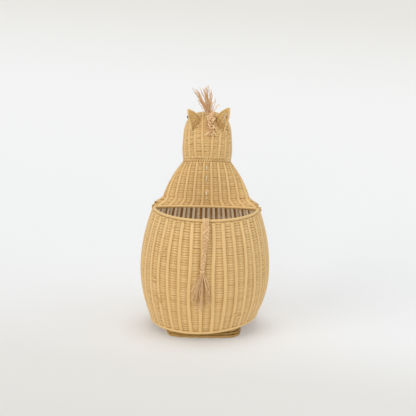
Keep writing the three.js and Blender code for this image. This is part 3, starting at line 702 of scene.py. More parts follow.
# From the back's middle round the right side to the bar's middle, and on along the left side.
hoop_corner = np.array([hoop_radius, bar_y(hoop_radius)])
arc = np.linspace(-np.pi / 2, -math.asin((corner_length - hoop_corner[1]) / hoop_radius), 90)
hoop = hoop_radius * np.stack([np.cos(arc), np.sin(arc)], axis=1)
x = np.linspace(hoop_radius - corner_length, 0, 60)
bar = np.stack([x, bar_y(x)], axis=1)
half = np.concatenate([hoop, bent(hoop[-1], hoop_corner, bar[0], 14)[1:], bar[1:]])
whole = np.concatenate([half, (half * [-1, 1])[::-1][1:]])
line = np.column_stack([whole, np.full(len(whole), rim_level)])
rim = bound_together("rim_cane", [strip(line, (0, 0, 1), rim_cane, rim_cane, 0.3, 5, sides=12)], cane_finish)
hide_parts("rim_hoop")
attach(rim, "basket")


# The neck
# The body's front canes run on up, ten more stand on the bar, and twenty strips are woven
# round them to the collar, over hidden canes as in the body.

neck_height = 0.080
collar_half_width = 0.048
collar_middle_y = 0.062
collar_front_y = 0.102
collar_back_y = 0.024
collar_tilt = math.radians(13)
front_canes = 17
back_canes = 10
back_cane_start = 0.6  # the first back cane's place, counted in their spacings from the corner
neck_canes = front_canes + back_canes
neck_rows = 20
neck_row_fill = 0.49
neck_strip_half_thickness = 0.0009
# The same weights for the neck's strips; the last is painted shade in the dips.
neck_tones = (0.35, 0.3, 0.5)
neck_stake_radius = 0.0031
neck_stake_half_thickness = 0.0018
neck_hidden_depth = 0.0018
neck_foot = wall_top + gap
strip_squareness = 3

# The neck's shape at eight stations, as shares of the way from the body's edge to the
# collar, and the front's bulge in metres.
neck_up = (0, 0.06, 0.125, 0.2, 0.31, 0.62, 0.84, 1)
neck_narrow = (0, 0.04, 0.19, 0.335, 0.4, 0.63, 0.84, 1)
neck_middle = (0, 0.15, 0.29, 0.44, 0.54, 0.76, 0.91, 1)
neck_back = (0, 0.07, 0.13, 0.2, 0.27, 0.53, 0.77, 1)
neck_swell = (0, 0.0016, 0.0023, 0.0034, 0.0041, 0.0042, 0.0027, 0)
neck_tilt = (0, 0, 0, 0, 0.1, 0.5, 0.85, 1)


def smooth(values, share):
    """Values between evenly spaced stations, on a smooth curve through them."""
    values = np.asarray(values, float)
    place = np.clip(share, 0, 1) * (len(values) - 1)
    i = np.minimum(place.astype(int), len(values) - 2)
    t = place - i
    slopes = np.gradient(values)
    a, b, d = slopes[i], slopes[i + 1], values[i + 1] - values[i]
    return values[i] + a * t + (3 * d - 2 * a - b) * t**2 + (a + b - 2 * d) * t**3


def blend(start, end, share):
    return start + (end - start) * share


def neck_surface(share, turn):
    share, turn = np.broadcast_arrays(share, turn)
    up = smooth(neck_up, share)
    middle = blend(corner_y, collar_middle_y, smooth(neck_middle, share))
    half = blend(rim_radius, collar_half_width, smooth(neck_narrow, share))
    front = blend(rim_radius, collar_front_y, up) + smooth(neck_swell, share)
    back = blend(corner_y + bar_bow, collar_back_y, smooth(neck_back, share))
    reach = np.where(np.sin(turn) > 0, front - middle, middle - back)
    y = middle + reach * np.sin(turn)
    fall = np.tan(smooth(neck_tilt, share) * collar_tilt)
    z = neck_foot + neck_height * up - fall * (y - collar_middle_y)
    return np.stack([half * np.cos(turn), y, z], axis=-1)


# Where the canes stand along the front half of a ring and on along its back half.
cane_places = np.concatenate([
    front_canes * math.degrees(stake_lead) / 180 + np.arange(front_canes),
    front_canes + back_cane_start + np.arange(back_canes),
])
cane_places = np.append(cane_places, cane_places[0] + neck_canes)


def neck_turn(share, phase):
    """The angles of the canes, and between them, on the ring at a share of the neck's height."""
    dense = np.linspace(0, 2 * np.pi, 721)
    run = run_along(neck_surface(share, dense))
    front, whole = run[len(dense) // 2], run[-1]
    in_back = front_canes + (run - front) / (whole - front) * back_canes
    spent = np.where(run <= front, run / front * front_canes, in_back)
    rounds = np.floor(phase / neck_canes)
    place = np.interp(phase - rounds * neck_canes, np.arange(neck_canes + 1), cane_places)
    is_over = place > neck_canes
    return np.interp(place - neck_canes * is_over, spent, dense) + 2 * np.pi * (rounds + is_over)


def even_shares(surface, turn, count):
    """Shares that divide the surface's line at one angle into equal rows."""
    dense = np.linspace(0, 1, 400)
    run = run_along(surface(dense, turn))
    return np.interp((np.arange(count) + 0.5) / count, run / run[-1], dense)


def row_spacing(surface, share, step, turn):
    """How far apart the rows lie at each angle."""
    return np.linalg.norm(surface(share + step / 2, turn) - surface(share - step / 2, turn), axis=-1)


neck_strip_finish = plant_finish(
    "neck_strip", (230, 192, 130), (198, 156, 92), (192, 150, 92), 0.4, (0.42, 0.66), 0.4, pith=pith_colour
)
neck_strips = []
shares = even_shares(neck_surface, 1.5 * np.pi, neck_rows)
for row, (share, step) in enumerate(zip(shares, np.gradient(shares))):
    phase = once_round(neck_canes, steps_per_stake)
    turn = neck_turn(share, phase)
    wander = drift(turn, row_wander, 4)
    wander = wander + from_cane_to_cane(2 * phase, draw.normal(0, 0.03, 2 * neck_canes + 1))
    spacing = row_spacing(neck_surface, share, step, turn)
    half_width = neck_row_fill * spacing * (1 + drift(turn, 0.04, 16))
    bulge = weave_wave(phase + 0.5, 3)
    depth = neck_strip_half_thickness + 2 * neck_stake_half_thickness * weave_wave(phase, 6)
    depth = depth + cane_bulge * (1 - bulge) + drift(turn, depth_wander, 9)
    tone = tone_with_painted_shade(draw.random(), phase, neck_canes, bulge, neck_tones)
    neck_strips.append(woven_in(
        neck_surface, share + step * wander, turn, depth, half_width, neck_strip_half_thickness, tone, row,
        sides=8, squareness=strip_squareness,
    ))
neck_weave = bound_together("neck_weave", neck_strips, neck_strip_finish)
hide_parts("neck_wall")
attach(neck_weave, "basket")


def standing_canes(surface, share, turns, half_widths, half_thickness, hidden_depth, palest):
    """Canes that stand in a woven wall, every second one hidden in it."""
    canes = []
    for k, turn in enumerate(turns):
        depth = half_thickness + (hidden_depth if k % 2 else -stake_proud)
        tone = palest + 0.5 * draw.random()
        canes.append(woven_in(
            surface, share, turn, depth, half_widths, half_thickness, tone, k,
            sides=10, squareness=cane_squareness,
        ))
    return canes


cane_share = np.linspace(0, 1, 26)
turns = [np.array([neck_turn(share, k / 2) for share in cane_share]) for k in range(2 * neck_canes)]
half_widths = neck_stake_radius * np.linspace(1.1, 0.75, len(cane_share))
neck_cane_strips = standing_canes(
    neck_surface, cane_share, turns, half_widths, neck_stake_half_thickness, neck_hidden_depth, 0.3
)
neck_cane_piece = bound_together("neck_canes", neck_cane_strips, cane_finish)
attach(neck_cane_piece, "basket")


# The collar
# The seam of neck and head: a thin cane that a flat strip is wound round, stitch by stitch,
# through both edges.

collar_low, collar_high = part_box("neck_collar")
collar_cane = 0.0025
collar_core = 0.0016
collar_winds = 64
collar_wind_out = 0.0019
collar_wind_up = 0.0034
collar_strip_half_width = 0.0021
collar_strip_half_thickness = 0.0004
collar_middle = (collar_low + collar_high) / 2
collar_front = (collar_front_y - collar_middle_y) / math.cos(collar_tilt)
collar_back = (collar_middle_y - collar_back_y) / math.cos(collar_tilt)
collar_up = np.array([0, math.sin(collar_tilt), math.cos(collar_tilt)])


def collar_line(turn):
    reach = np.where(np.sin(turn) > 0, collar_front, collar_back) - collar_cane
    x = (collar_half_width - collar_cane) * np.cos(turn)
    ahead = reach * np.sin(turn)
    y = collar_middle.y + ahead * math.cos(collar_tilt)
    z = collar_middle.z - ahead * math.sin(collar_tilt)
    return np.stack([x, y, z], axis=-1)


def wound(middle, side, up, angle, side_reach, up_reach):
    """A line wound round a middle, and the directions out of it."""
    swing = np.asarray(side) * np.cos(angle)[:, None]
    rise = np.asarray(up) * np.sin(angle)[:, None]
    return middle + swing * side_reach + rise * up_reach, swing + rise


core = collar_line(np.linspace(0, 2 * np.pi, 241))
collar_strips = [strip(core, collar_up, collar_core, collar_core, 0.4, 3, sides=8)]
turn = np.linspace(0, 2 * np.pi, collar_winds * 12 + 1)
middle = collar_line(turn)
away = np.cross(unit(np.gradient(middle, axis=0)), collar_up)
line, out = wound(middle, away, collar_up, collar_winds * turn, collar_wind_out, collar_wind_up)
tone = np.interp(turn, np.linspace(0, 2 * np.pi, 40), draw.random(40))
collar_strips.append(strip(line, out, collar_strip_half_width, collar_strip_half_thickness, tone, 4))
collar = bound_together("collar_lashing", collar_strips, strip_finish)
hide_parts("neck_collar")
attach(collar, "basket")


# The head
# Twenty canes that bend from the collar over the poll to the muzzle, with twenty hidden between
# them, and strips woven round. Rows that close up under the throat are left out there, and
# short strip ends stick out on both sides of the crown.

head_length = 0.125
head_rise = 0.045
head_half_width = 0.0495
crown_depth = 0.049
throat_depth = 0.0395
head_squareness = 2.4
head_canes = 20
head_rows = 49
head_row_pitch = 0.0049
head_row_fill = 0.52
head_row_drop = 0.55  # rows closer than this share of their pitch stop, apart from every second one
head_row_tuck = 0.0018  # how deep the end of a row is tucked in
shortest_row = 12
head_stake_radius = 0.0027
head_stake_half_thickness = 0.0016
head_hidden_depth = 0.0016
head_strip_half_thickness = 0.0008
head_strip_widest = 0.003
# The same weights for the head's strips; the last is painted shade in the dips.
head_tones = (0.45, 0.3, 0.4)
head_foot = np.array(collar_middle) + (gap + collar_cane) * collar_up

# The head's shape at eight stations from the collar to the muzzle.
head_forward = np.array((0, 0.024, 0.08, 0.216, 0.432, 0.64, 0.84, 1)) * head_length
head_up = np.array((0, 0.378, 0.756, 1, 0.889, 0.656, 0.444, 0.278)) * head_rise
head_lean = np.radians((13, 20, 42, 70, 96, 108, 111, 112))
head_half = head_half_width * np.array((1, 0.98, 0.95, 0.91, 0.81, 0.717, 0.667))
head_half = np.append(collar_half_width, head_half)
head_crown = crown_depth * np.array((0.9, 1, 1, 0.816, 0.7245, 0.643, 0.592))
head_crown = np.append(collar_back, head_crown)
head_throat = throat_depth * np.array((1, 0.911, 0.911, 0.9, 0.835, 0.76, 0.709))
head_throat = np.append(collar_front, head_throat)
# The side of the head, the shares of its length between which strip ends stick out, and how
# many do.
head_stray_ends = ((1, 0.14, 0.36, 18), (-1, 0.14, 0.34, 14))


def head_surface(share, turn):
    """A point of the head: turn runs from the left side, 0, over the crown, 90 degrees."""
    share, turn = np.broadcast_arrays(share, turn)
    lean = smooth(head_lean, share)
    across, along = superellipse(turn, blend(2, head_squareness, np.clip(4 * share, 0, 1)))
    reach = np.where(np.sin(turn) > 0, smooth(head_crown, share), smooth(head_throat, share)) * along
    x = -smooth(head_half, share) * across
    y = head_foot[1] + smooth(head_forward, share) - np.cos(lean) * reach
    z = head_foot[2] + smooth(head_up, share) + np.sin(lean) * reach
    return np.stack([x, y, z], axis=-1)


def head_turn(phase):
    return 2 * np.pi * (phase + 0.5) / head_canes


head_strips = []
shares = even_shares(head_surface, np.pi / 2, head_rows)
phase = np.linspace(-6, head_canes - 6, head_canes * steps_per_stake + 1)
turn = head_turn(phase)
places = np.arange(len(turn))
for row, (share, step) in enumerate(zip(shares, np.gradient(shares))):
    # Where the rows close up, only every second, fourth or eighth goes on.
    spacing = row_spacing(head_surface, share, step, turn)
    stride = 2 ** np.clip(np.ceil(np.log2(head_row_drop * head_row_pitch / spacing)), 0, 3)
    there = np.flatnonzero(row % stride == 0)
    room = np.convolve(np.pad(stride * spacing, 7, "edge"), np.ones(15) / 15, "valid")
    wander = drift(turn, 0.05, 4)
    wander = wander + from_cane_to_cane(2 * phase, draw.normal(0, 0.06, 2 * head_canes + 1))
    half_width = np.minimum(head_row_fill * room, head_strip_widest) * (1 + drift(turn, 0.06, 24))
    bulge = weave_wave(phase + 0.5, 3)
    depth = head_strip_half_thickness + 2 * head_stake_half_thickness * weave_wave(phase, 6)
    depth = depth + 0.4 * cane_bulge * (1 - bulge) + drift(turn, depth_wander, 9)
    tone = tone_with_painted_shade(draw.random(), phase, head_canes, bulge, head_tones)
    if len(there) < shortest_row:
        continue
    first, last = there[0], there[-1]
    if first > 0:
        # The ends of a row that stops are tucked in.
        tuck = np.clip(1 - np.minimum(places - first, last - places) / 4, 0, 1)
        depth = depth + head_row_tuck * tuck
        half_width = half_width * (1 - 0.5 * tuck)
    part = slice(first, last + 1)
    head_strips.append(woven_in(
        head_surface, (share + step * wander)[part], turn[part], depth[part], half_width[part],
        head_strip_half_thickness, tone[part], row, sides=8, squareness=strip_squareness,
    ))
for side, lowest, highest, count in head_stray_ends:
    for k in range(count):
        t = np.linspace(0, 1, 12)
        start = draw.uniform(lowest, highest)
        angle = np.pi / 2 + side * draw.uniform(0.3, 0.95)
        share = start + draw.uniform(-0.02, 0.02) * t
        stray_turn = angle + draw.uniform(0.12, 0.22) * t
        tone = 0.8 * draw.random() - 0.2
        head_strips.append(stray_end(
            head_surface, share, stray_turn, root=0.0018, rise=0.0035, half_width=0.0011, tone=tone, seed=k
        ))
head_weave = bound_together("head_weave", head_strips, strip_finish)
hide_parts("head_wall")
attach(head_weave, "basket")

cane_share = np.linspace(0, 1, 60)
turns = head_turn(np.arange(2 * head_canes) / 2)
half_widths = head_stake_radius * np.linspace(1.05, 0.7, len(cane_share))
head_cane_strips = standing_canes(
    head_surface, cane_share, turns, half_widths, head_stake_half_thickness, head_hidden_depth, 0.1
)
head_cane_piece = bound_together("head_canes", head_cane_strips, cane_finish)
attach(head_cane_piece, "basket")


# The muzzle
# The head's canes are drawn together over its end, every second one to the middle, and strips
# close it in a low dome.

cap_length = 0.013
cap_turn = 0.94 * np.pi / 2
muzzle_rows = 8
muzzle_outer_rows = 4  # which take the canes one by one, and the others in twos
muzzle_strip_widest = 0.0027
long_cane_reach = 0.99
short_cane_reach = 0.55
muzzle_lean = head_lean[-1]
muzzle_ahead = np.array([0, math.sin(muzzle_lean), math.cos(muzzle_lean)])
muzzle_middle = head_foot + (0, head_forward[-1], head_up[-1])


def muzzle_surface(share, turn):
    share, turn = np.broadcast_arrays(share, turn)
    swing = (share * cap_turn)[..., None]
    edge = head_surface(1, turn) - muzzle_middle
    return muzzle_middle + edge * np.cos(swing) + muzzle_ahead * (gap + cap_length * np.sin(swing))


muzzle_strips = []
for row, share in enumerate(even_shares(muzzle_surface, np.pi / 2, muzzle_rows)):
    periods = head_canes if row < muzzle_outer_rows else head_canes // 2
    phase = once_round(periods, floor_steps)
    turn = head_turn(phase * head_canes / periods)
    spacing = row_spacing(muzzle_surface, share, 1 / muzzle_rows, turn)
    depth = head_strip_half_thickness + 2 * head_stake_half_thickness * weave_wave(phase)
    half_width = np.minimum(0.5 * spacing, muzzle_strip_widest)
    muzzle_strips.append(woven_in(
        muzzle_surface, share, turn, depth, half_width, head_strip_half_thickness, draw.random(), row,
        sides=8, squareness=strip_squareness,
    ))
for k in range(head_canes):
    share = np.linspace(0, short_cane_reach if k % 2 else long_cane_reach, 16)
    half_width = head_stake_radius * np.linspace(0.7, 0.45, 16)
    muzzle_strips.append(woven_in(
        muzzle_surface, share, head_turn(k), head_stake_half_thickness - stake_proud, half_width,
        head_stake_half_thickness, 0.1 + 0.5 * draw.random(), k, sides=8,
    ))
muzzle = bound_together("muzzle_weave", muzzle_strips, strip_finish)
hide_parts("muzzle_cap")
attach(muzzle, "basket")


# The ears
# A cane bent to a point and bound with a thin strip, with its two ends pushed into the head,
# and thin strips woven across five spokes inside it. The right one is worn open near its
# outer edge.

ear_cup = 0.007
ear_swell = 0.08
ear_bulges = {"right": 0.12, "left": 0.03}  # how far the outer edge bows out, as a share of the ear's width
ear_root_depth = 0.012
ear_row_pitch = 0.0026
ear_woven = 0.9  # the share of the ear's height that is woven
ear_margin = 0.0015
ear_weave_wave = 0.0006
ear_strip_size = (0.0011, 0.0004)
ear_spokes = 5
ear_spoke_size = (0.0009, 0.0007)
worn_rows = range(4, 9)
worn_edge = 0.58
ear_cane = 0.0018
ear_winds = 22
ear_wind_reach = 0.0019
ear_wind_size = (0.0012, 0.0003)
# The corners of the ears, from the head's foot, as shares of the head's half width.
ear_corners = {
    "right": ((0.313, -0.101, 1.677), (0.646, -0.444, 1.182), (0.828, -0.343, 2.141)),
    "left": ((0.263, -0.101, 1.636), (0.606, -0.444, 1.152), (0.788, -0.343, 2.051)),
}


def ear_shape(name):
    """The surface of one ear: side from its upper edge, 0, to its lower edge, 1, and rise to its tip."""
    mirror = np.array([1 if name == "right" else -1, 1, 1])
    upper, lower, tip = (head_foot + np.array(corner) * head_half_width for corner in ear_corners[name])
    width = np.linalg.norm(lower - upper)
    across = (lower - upper) / width
    up = tip - upper
    tip_across = up @ across
    up = up - across * tip_across
    height = np.linalg.norm(up)
    up = up / height
    back = np.cross(across, up)

    def surface(side, rise, stand=0.0):
        side, rise, stand = np.broadcast_arrays(side, rise, stand)
        share = np.maximum(rise, 0)
        along = np.where(rise < 0, rise * ear_root_depth, rise * height)
        swell = ear_swell * width * np.sin(np.pi * np.minimum(share, 1))
        edge_up = share * tip_across - swell
        bow = ear_bulges[name] * width * np.sin(np.pi * np.minimum(share, 1) ** 1.7)
        edge_low = width + (tip_across - width) * share + bow
        cup = ear_cup * (1 - share**2) * (1 - (2 * side - 1) ** 2)
        point = upper + across * (edge_up + (edge_low - edge_up) * side)[..., None]
        point = point + up * along[..., None] + back * (cup + stand)[..., None]
        return point * mirror

    return surface, height, width, back * mirror


ear_strip_finish = plant_finish(
    "ear_strip", (228, 188, 118), (190, 146, 80), (120, 84, 42), 0.5, (0.5, 0.72), 0.5, 120, 3200
)
for name in ("right", "left"):
    surface, height, width, back = ear_shape(name)
    leaf = []
    count = int(height * ear_woven / ear_row_pitch)
    for row in range(count):
        rise = (row + 0.3) / count * ear_woven
        margin = ear_margin / max(width * (1 - rise) + 0.004, 0.006)
        is_worn = name == "right" and row in worn_rows
        side = np.linspace(margin, worn_edge if is_worn else 1 - margin, 41)
        over = ear_weave_wave * np.sin(np.pi * (side * (ear_spokes + 1) + row))
        line = surface(side, rise + 0.01 * np.sin(3 * side + row), over)
        leaf.append(strip(line, back, *ear_strip_size, draw.random(), row))
    for k in range(ear_spokes):
        line = surface((k + 1) / (ear_spokes + 1), np.linspace(-0.25, 0.93, 24))
        leaf.append(strip(line, back, *ear_spoke_size, draw.random(), k))
    piece = bound_together(f"ear_{name}_weave", leaf, ear_strip_finish)
    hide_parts(f"ear_leaf_{name}")
    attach(piece, "basket")
    climb = np.linspace(-0.5, 0.86, 30)
    corners = np.concatenate([surface(0, climb), surface(0.5, 1.01)[None], surface(1, climb[::-1])])
    run = run_along(corners)
    line = points_at(np.linspace(0, run[-1], 90), run, corners)
    for smoothing in range(6):
        line[1:-1] = 0.25 * line[:-2] + 0.5 * line[1:-1] + 0.25 * line[2:]
    canes = [strip(line, back, ear_cane, ear_cane, 0.3, 1, sides=8)]
    middle = line[8:-8]
    away = np.cross(unit(np.gradient(middle, axis=0)), back)
    run = np.arange(len(middle))
    dense = np.linspace(0, run[-1], ear_winds * 10)
    angle = 2 * np.pi * ear_winds * dense / run[-1]
    centre = points_at(dense, run, middle)
    line, out = wound(centre, points_at(dense, run, away), back, angle, ear_wind_reach, ear_wind_reach)
    canes.append(strip(line, out, *ear_wind_size, draw.random(), 2))
    piece = bound_together(f"ear_{name}_cane", canes, cane_finish)
    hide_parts(f"ear_rim_{name}")
    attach(piece, "basket")


# The eyes
# Two black glossy beads, a little flat, sewn through the weave of the forehead.

eye_radius = 0.004
eye_flatness = 0.92
eye_share = 0.47
eye_side = math.radians(41)
eye_stand = 0.35  # of its radius, from the weave out to its middle
eye_rings = 18
eye_sides = 32

bead = bpy.data.materials.new("bead")
bead.use_nodes = True
tree = bead.node_tree
place = add_node(tree, "TexCoord").outputs["Object"]
speckle = add_node(tree, "TexNoise", {"Vector": place, "Scale": 700}).outputs["Fac"]
ramp = add_node(tree, "ValToRGB", {"Fac": speckle})
ramp.color_ramp.elements[0].color = colour((14, 12, 12))
ramp.color_ramp.elements[1].color = colour((34, 29, 27))
shine = add_range(tree, speckle, 0, 1, 0.12, 0.3)
fill_inputs(tree, tree.nodes["Principled BSDF"], {"Base Color": ramp.outputs["Color"], "Roughness": shine})

latitude = np.linspace(0.02, 0.75 * np.pi, eye_rings)[:, None]
longitude = np.linspace(0, 2 * np.pi, eye_sides, endpoint=False)
ball = eye_radius * ring(np.sin(latitude), longitude, eye_flatness * np.cos(latitude)).reshape(-1, 3)
place = np.arange(eye_rings * eye_sides).reshape(eye_rings, eye_sides)
after = np.roll(place, -1, axis=1)
ball_faces = np.stack([place[:-1], place[1:], after[1:], after[:-1]], axis=-1).reshape(-1, 4).tolist()
ball_faces += [place[0].tolist(), place[-1, ::-1].tolist()]
for name, turn in (("right", math.pi - eye_side), ("left", eye_side)):
    middle, out = under(head_surface, eye_share, turn, -eye_stand * eye_radius)
    pole = np.array(Vector(out).to_track_quat("Z", "Y").to_matrix())
    mesh = bpy.data.meshes.new(f"eye_{name}_bead")
    mesh.from_pydata(middle + ball @ pole.T, [], ball_faces)
    mesh.shade_smooth()
    mesh.materials.append(bead)
    eye = bpy.data.objects.new(f"eye_{name}_bead", mesh)
    scene.collection.objects.link(eye)
    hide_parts(f"eye_{name}")
    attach(eye, "basket")


# The mane
# Raffia knotted down the back of the head, and a tuft of loose raffia tied in between the
# ears that stands up and frays.

raffia_finish = plant_finish(
    "raffia", (250, 216, 168), (214, 168, 118), (160, 110, 66), 0.5, (0.55, 0.85), 0.5, 60, 3000
)
tuft_share = 0.4
tuft_height = 0.0575
tuft_strands = 56
mane_blades = 16
mane_shift = 0.004  # how far the raffia is tied to the right of the head's middle
mane_turn = np.pi / 2 + 0.085
raffia_half_thickness = 0.00018
blade_half_thickness = 0.0003
knot_shares = np.linspace(0.365, 0.24, 4)
knot_blade_half_width = 0.0007
knot_radius = 0.0026
knot_stand = 0.0028
knot_loops = 7
loose_half_width = 0.0006
knot_loose_ends = 6
knot_wraps = 3
# Where the tuft's main wisps end, from its root, as shares of its height, and how often.
tuft_tips = np.array([
    (-0.62, 0.07, 0.957, 4), (-0.48, -0.087, 0.88, 4), (-0.36, 0.06, 0.93, 5), (-0.26, 0.052, 0.985, 6),
    (-0.16, -0.07, 0.96, 5), (-0.06, 0.087, 0.985, 4), (0.03, -0.052, 0.95, 3), (0.2, 0.052, 0.591, 3),
    (0.36, -0.052, 0.36, 1), (-0.42, 0.087, 0.522, 2), (-0.39, -0.07, 0.243, 1),
])


def wisp(start, middle, end, half_width, tone, seed, count, waver):
    """One blade of raffia: thin, flat, wavering and turned on itself."""
    line = bent(start, middle, end, count)
    t = np.linspace(0, 1, count)
    for axis in range(3):
        wave = np.sin(t * draw.uniform(4, 11) + draw.uniform(0, full_turn))
        line[:, axis] += waver * t * wave * draw.uniform(0.3, 1)
    spin = draw.uniform(0, full_turn) + t * draw.uniform(-3, 3)
    out = np.stack([np.cos(spin), np.sin(spin), np.full(count, 0.3)], axis=1)
    return strip(line, out, half_width * (1 - 0.5 * t**4), raffia_half_thickness, tone, seed)


def pick(tips):
    """One of the tips, by how often each comes, which is its last number."""
    return tips[draw.choice(len(tips), p=tips[:, -1] / tips[:, -1].sum()), :-1]


root = under(head_surface, tuft_share, np.pi / 2, -0.001)[0] + (mane_shift, 0, 0)
tuft = []
for k in range(tuft_strands):
    tip = pick(tuft_tips) * tuft_height * draw.uniform(0.8, 1.0) + draw.normal(0, 0.0016, 3)
    tip[2] = min(tip[2], tuft_height - 0.001)
    base = root + draw.normal(0, 0.002, 3) * (1, 1, 0.3)
    middle = base + 0.5 * tip + draw.normal(0, 0.0012, 3)
    half_width = draw.uniform(0.0006, 0.0011)
    tuft.append(wisp(
        base - (0, 0, 0.003), middle, root + tip, half_width, draw.random(), k, count=22, waver=0.0022
    ))
for k in range(mane_blades):
    t = np.linspace(0, 1, 40)
    share = blend(tuft_share + 0.01, draw.uniform(0.22, 0.38), t)
    sway = (0.05 + 0.08 * t) * np.sin(t * draw.uniform(6, 16) + draw.uniform(0, full_turn))
    sway = sway + draw.uniform(-0.1, 0.1) * t
    depth = -0.0022 - 0.0042 * np.abs(np.sin(t * draw.uniform(8, 18) + draw.uniform(0, full_turn)))
    half_width = draw.uniform(0.0008, 0.0013)
    tuft.append(woven_in(
        head_surface, share, mane_turn + sway, depth, half_width, blade_half_thickness, k % 2, k
    ))
tuft_piece = bound_together("mane_tuft_raffia", tuft, raffia_finish)
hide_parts("mane_tuft")
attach(tuft_piece, "basket")

for k, share in enumerate(knot_shares):
    middle, out = under(head_surface, share, mane_turn, -knot_stand)
    upward = unit(head_surface(share + 0.01, mane_turn) - middle)
    sideways = np.cross(upward, out)
    blades = []
    for loop in range(knot_loops):
        lean = draw.uniform(-1.2, 1.2) + (np.pi if loop % 2 else 0)
        way = sideways * math.cos(lean) + upward * math.sin(lean)
        size = draw.uniform(0.003, 0.0062)
        t = np.linspace(0, np.pi, 18)[:, None]
        line = middle + way * size * np.sin(t) + out * (0.0022 * np.sin(t) ** 2 + 0.0008 * np.cos(3 * t))
        line = line + np.cross(way, out) * 0.0022 * np.sin(2 * t)
        blades.append(strip(line, out, knot_blade_half_width, blade_half_thickness, loop % 3 / 2, loop))
    for loose in range(knot_loose_ends):
        lean = draw.uniform(0, 2 * np.pi)
        way = sideways * math.cos(lean) + upward * 0.7 * math.sin(lean) + out * draw.uniform(0.2, 0.6)
        end = way * draw.uniform(0.007, 0.0125)
        blades.append(wisp(
            middle, middle + 0.5 * end + out * 0.003, middle + end, loose_half_width, draw.random(), loose,
            count=12, waver=0.0008,
        ))
    angle = np.linspace(0, 2 * np.pi, 40)
    for wrap in range(knot_wraps):
        radius = knot_radius + 0.0003 * wrap
        centre = middle + upward * 0.0012 * (wrap - 1)
        line, away = wound(centre, out, sideways, angle, 0.8 * radius, radius)
        blades.append(strip(line, away, knot_blade_half_width, blade_half_thickness, draw.random(), wrap))
    piece = bound_together(f"mane_knot_{k + 1}_raffia", blades, raffia_finish)
    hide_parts(f"mane_knot_{k + 1}")
    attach(piece, "basket")


# The lacing down the neck
# One pale strip sewn down the back of the neck in four long stitches.

lacing_finish = plant_finish(
    "pale_raffia", (240, 228, 206), (214, 192, 156), (170, 136, 96), 0.4, (0.5, 0.8), 0.5, 60, 2400
)
stitch_shares = (0.40, 0.53, 0.68, 0.83)
stitch_length = 0.085
stitch_half_width = 0.0016
stitch_half_thickness = 0.0004
stitches = []
for share in stitch_shares:
    depth = 0.0022 - 0.0042 * np.sin(np.linspace(0, np.pi, 14)) ** 0.7
    turn = 1.5 * np.pi + 0.012 * math.sin(5 * share)
    stitches.append(woven_in(
        neck_surface, np.linspace(share, share + stitch_length, 14), turn, depth, stitch_half_width,
        stitch_half_thickness, draw.random(), share,
    ))
lacing = bound_together("crest_lacing_stitches", stitches, lacing_finish)
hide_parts("crest_lacing")
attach(lacing, "basket")


# The tail
# Raffia looped round the rim's cane, plaited in three, bound, and left loose in a tassel. The
# loop swings on the rim, and the plait hangs from it.

tail_finish = plant_finish(
    "tail_raffia", (246, 212, 162), (208, 166, 114), (150, 104, 62), 0.5, (0.55, 0.85), 0.5, 60, 2600
)
braid_length = 0.076
braid_half_width = 0.007
braid_half_thickness = 0.0044
braid_end_share = 0.62
braid_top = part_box("tail_braid")[0].z + braid_length
tail_offset = 0.0022
tail_drift = -0.0064
tail_standoff = 0.0005
lock_radius = 0.0028
lock_lift = 0.0019
lock_blades = 8
lock_blade_half_width = 0.0011
lock_blade_half_thickness = 0.0006
plait_locks = 3
plait_turns = 3.8
loop_low, loop_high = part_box("tail_loop")
loop_middle = np.array((loop_low + loop_high) / 2)
loop_bands = 7
loop_radius = 0.0043
loop_half_width = 0.0010
loop_end_radius = 0.0054
loop_end_half_width = 0.0011
loop_half_thickness = 0.0005


def braid_middle(share):
    """The plait's middle at shares of its length, close to the wall."""
    height = braid_top - share * braid_length
    y = -(body_reach(height) + tail_standoff + braid_half_thickness)
    return np.stack([tail_offset + tail_drift * share, y, height], axis=-1)


loop_strips = []
loop_across = (np.arange(loop_bands) + 0.5) / loop_bands - 0.5
for band, across in enumerate(loop_across):
    centre = loop_middle + (across * (loop_high.x - loop_low.x), 0, 0)
    angle = np.linspace(0, 2 * np.pi, 49)
    radius = loop_radius + 0.0003 * (band % 2)
    line, out = wound(centre, (0, 1, 0), (0, 0, 1), angle, radius, radius)
    line[:, 0] += 0.0006 * np.sin(angle + band)
    loop_strips.append(strip(line, out, loop_half_width, loop_half_thickness, draw.random(), band))
for band, across in enumerate(loop_across):
    # The loop's own ends come down outside the rim and run into the plait's head.
    centre = loop_middle + (across * (loop_high.x - loop_low.x), 0, 0)
    angle = np.linspace(0.56 * np.pi, 1.05 * np.pi, 12)
    over = wound(centre, (0, 1, 0), (0, 0, 1), angle, loop_end_radius, loop_end_radius)[0]
    low_end = braid_middle(0) + (braid_half_width * across, 0.0008 * (-1) ** band, -0.003)
    fall = bent(over[-1], over[-1] + (0, -0.001, -0.006), low_end, 14)
    line = np.concatenate([over, fall[1:]])
    out = unit(np.cross(unit(np.gradient(line, axis=0)), (1, 0, 0)))
    seed = band + loop_bands
    loop_strips.append(strip(line, out, loop_end_half_width, loop_half_thickness, draw.random(), seed))
loop = bound_together("tail_loop_raffia", loop_strips, tail_finish)
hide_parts("tail_loop")
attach(loop, "tail_head")

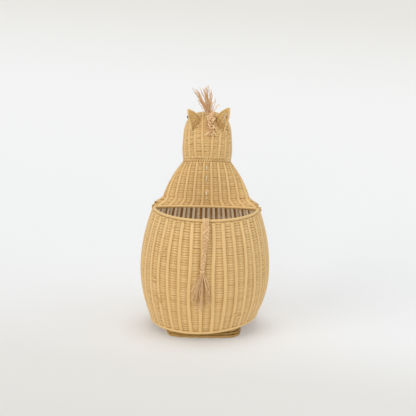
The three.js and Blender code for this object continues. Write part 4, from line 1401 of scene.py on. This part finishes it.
share = np.linspace(-0.05, 1, 130)
narrowing = blend(1, braid_end_share, np.clip(share, 0, 1)) * np.minimum(1, (share + 0.07) / 0.05)
centre = braid_middle(share)
outward = unit(np.cross(unit(np.gradient(centre, axis=0)), (1, 0, 0)))
outward = outward * np.where(outward[:, 1:2] < 0, 1, -1)
braid = []
for lock in range(plait_locks):
    swing = 2 * np.pi * (plait_turns * share + lock / plait_locks)
    lateral = (braid_half_width - lock_radius) * np.sin(swing) * narrowing
    lift = lock_lift * np.sin(2 * swing) * narrowing
    lock_line = centre + lateral[:, None] * (1, 0, 0) + outward * lift[:, None]
    lock_along = unit(np.gradient(lock_line, axis=0))
    lock_side = unit(np.cross(lock_along, outward))
    lock_out = np.cross(lock_side, lock_along)
    size = (0.68 * lock_radius * narrowing)[:, None]
    for blade in range(lock_blades):
        spin = 2 * np.pi * (blade / lock_blades + 1.2 * share) + lock
        line, out = wound(lock_line, lock_side, lock_out, spin, 1.15 * size, size)
        half_width = lock_blade_half_width * np.sqrt(narrowing)
        seed = blade + lock_blades * lock
        braid.append(strip(line, out, half_width, lock_blade_half_thickness, draw.random(), seed))
piece = bound_together("tail_braid_raffia", braid, tail_finish)
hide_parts("tail_braid")
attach(piece, "tail")

binding_low, binding_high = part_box("tail_binding")
binding_middle = (binding_low + binding_high) / 2
binding_winds = 4
half = (binding_high - binding_low) / 2
angle = np.linspace(0, 2 * np.pi * binding_winds, 24 * binding_winds)
centre = np.array(binding_middle) + np.linspace(-1, 1, len(angle))[:, None] * (0, 0, half.z - 0.0007)
line, out = wound(centre, (1, 0, 0), (0, 1, 0), angle, half.x - 0.0006, half.y - 0.0006)
core = np.array(binding_middle) + np.linspace(-1, 1, 8)[:, None] * (0, 0, half.z - 0.0004)
binding_strips = [
    strip(line, out, 0.0008, 0.0005, 0.35, 1),
    strip(core, (0, 1, 0), half.x - 0.001, half.y - 0.001, 0.8, 2, sides=12),
]
piece = bound_together("tail_binding_raffia", binding_strips, tail_finish)
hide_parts("tail_binding")
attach(piece, "tail")

tassel_strands = 44
tassel_root = np.array([binding_middle.x, binding_middle.y, binding_low.z])
# Where the tassel's main wisps end, from the binding, across and down, in metres, and how often.
tassel_tips = np.array([
    (-0.0215, -0.046, 4), (-0.019, -0.062, 6), (-0.0155, -0.075, 5), (-0.009, -0.083, 6), (-0.004, -0.066, 5),
    (0.001, -0.082, 7), (0.0135, -0.046, 2), (0.0165, -0.068, 4),
])
tassel = []
for k in range(tassel_strands):
    x, z = pick(tassel_tips)
    x, z = x + draw.normal(0, 0.0015), z * draw.uniform(0.88, 1.0)
    tip = tassel_root + (x, draw.uniform(-0.0012, 0.0022), z)
    base = tassel_root + (draw.uniform(-0.0025, 0.0025), draw.uniform(-0.0015, 0.0015), 0.003)
    middle = base + (0.45 * x, 0, 0.42 * z)
    half_width = draw.uniform(0.0006, 0.0011)
    tassel.append(wisp(base, middle, tip, half_width, draw.random(), k, count=18, waver=0.0018))
piece = bound_together("tail_tassel_raffia", tassel, tail_finish)
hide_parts("tail_tassel")
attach(piece, "tail")
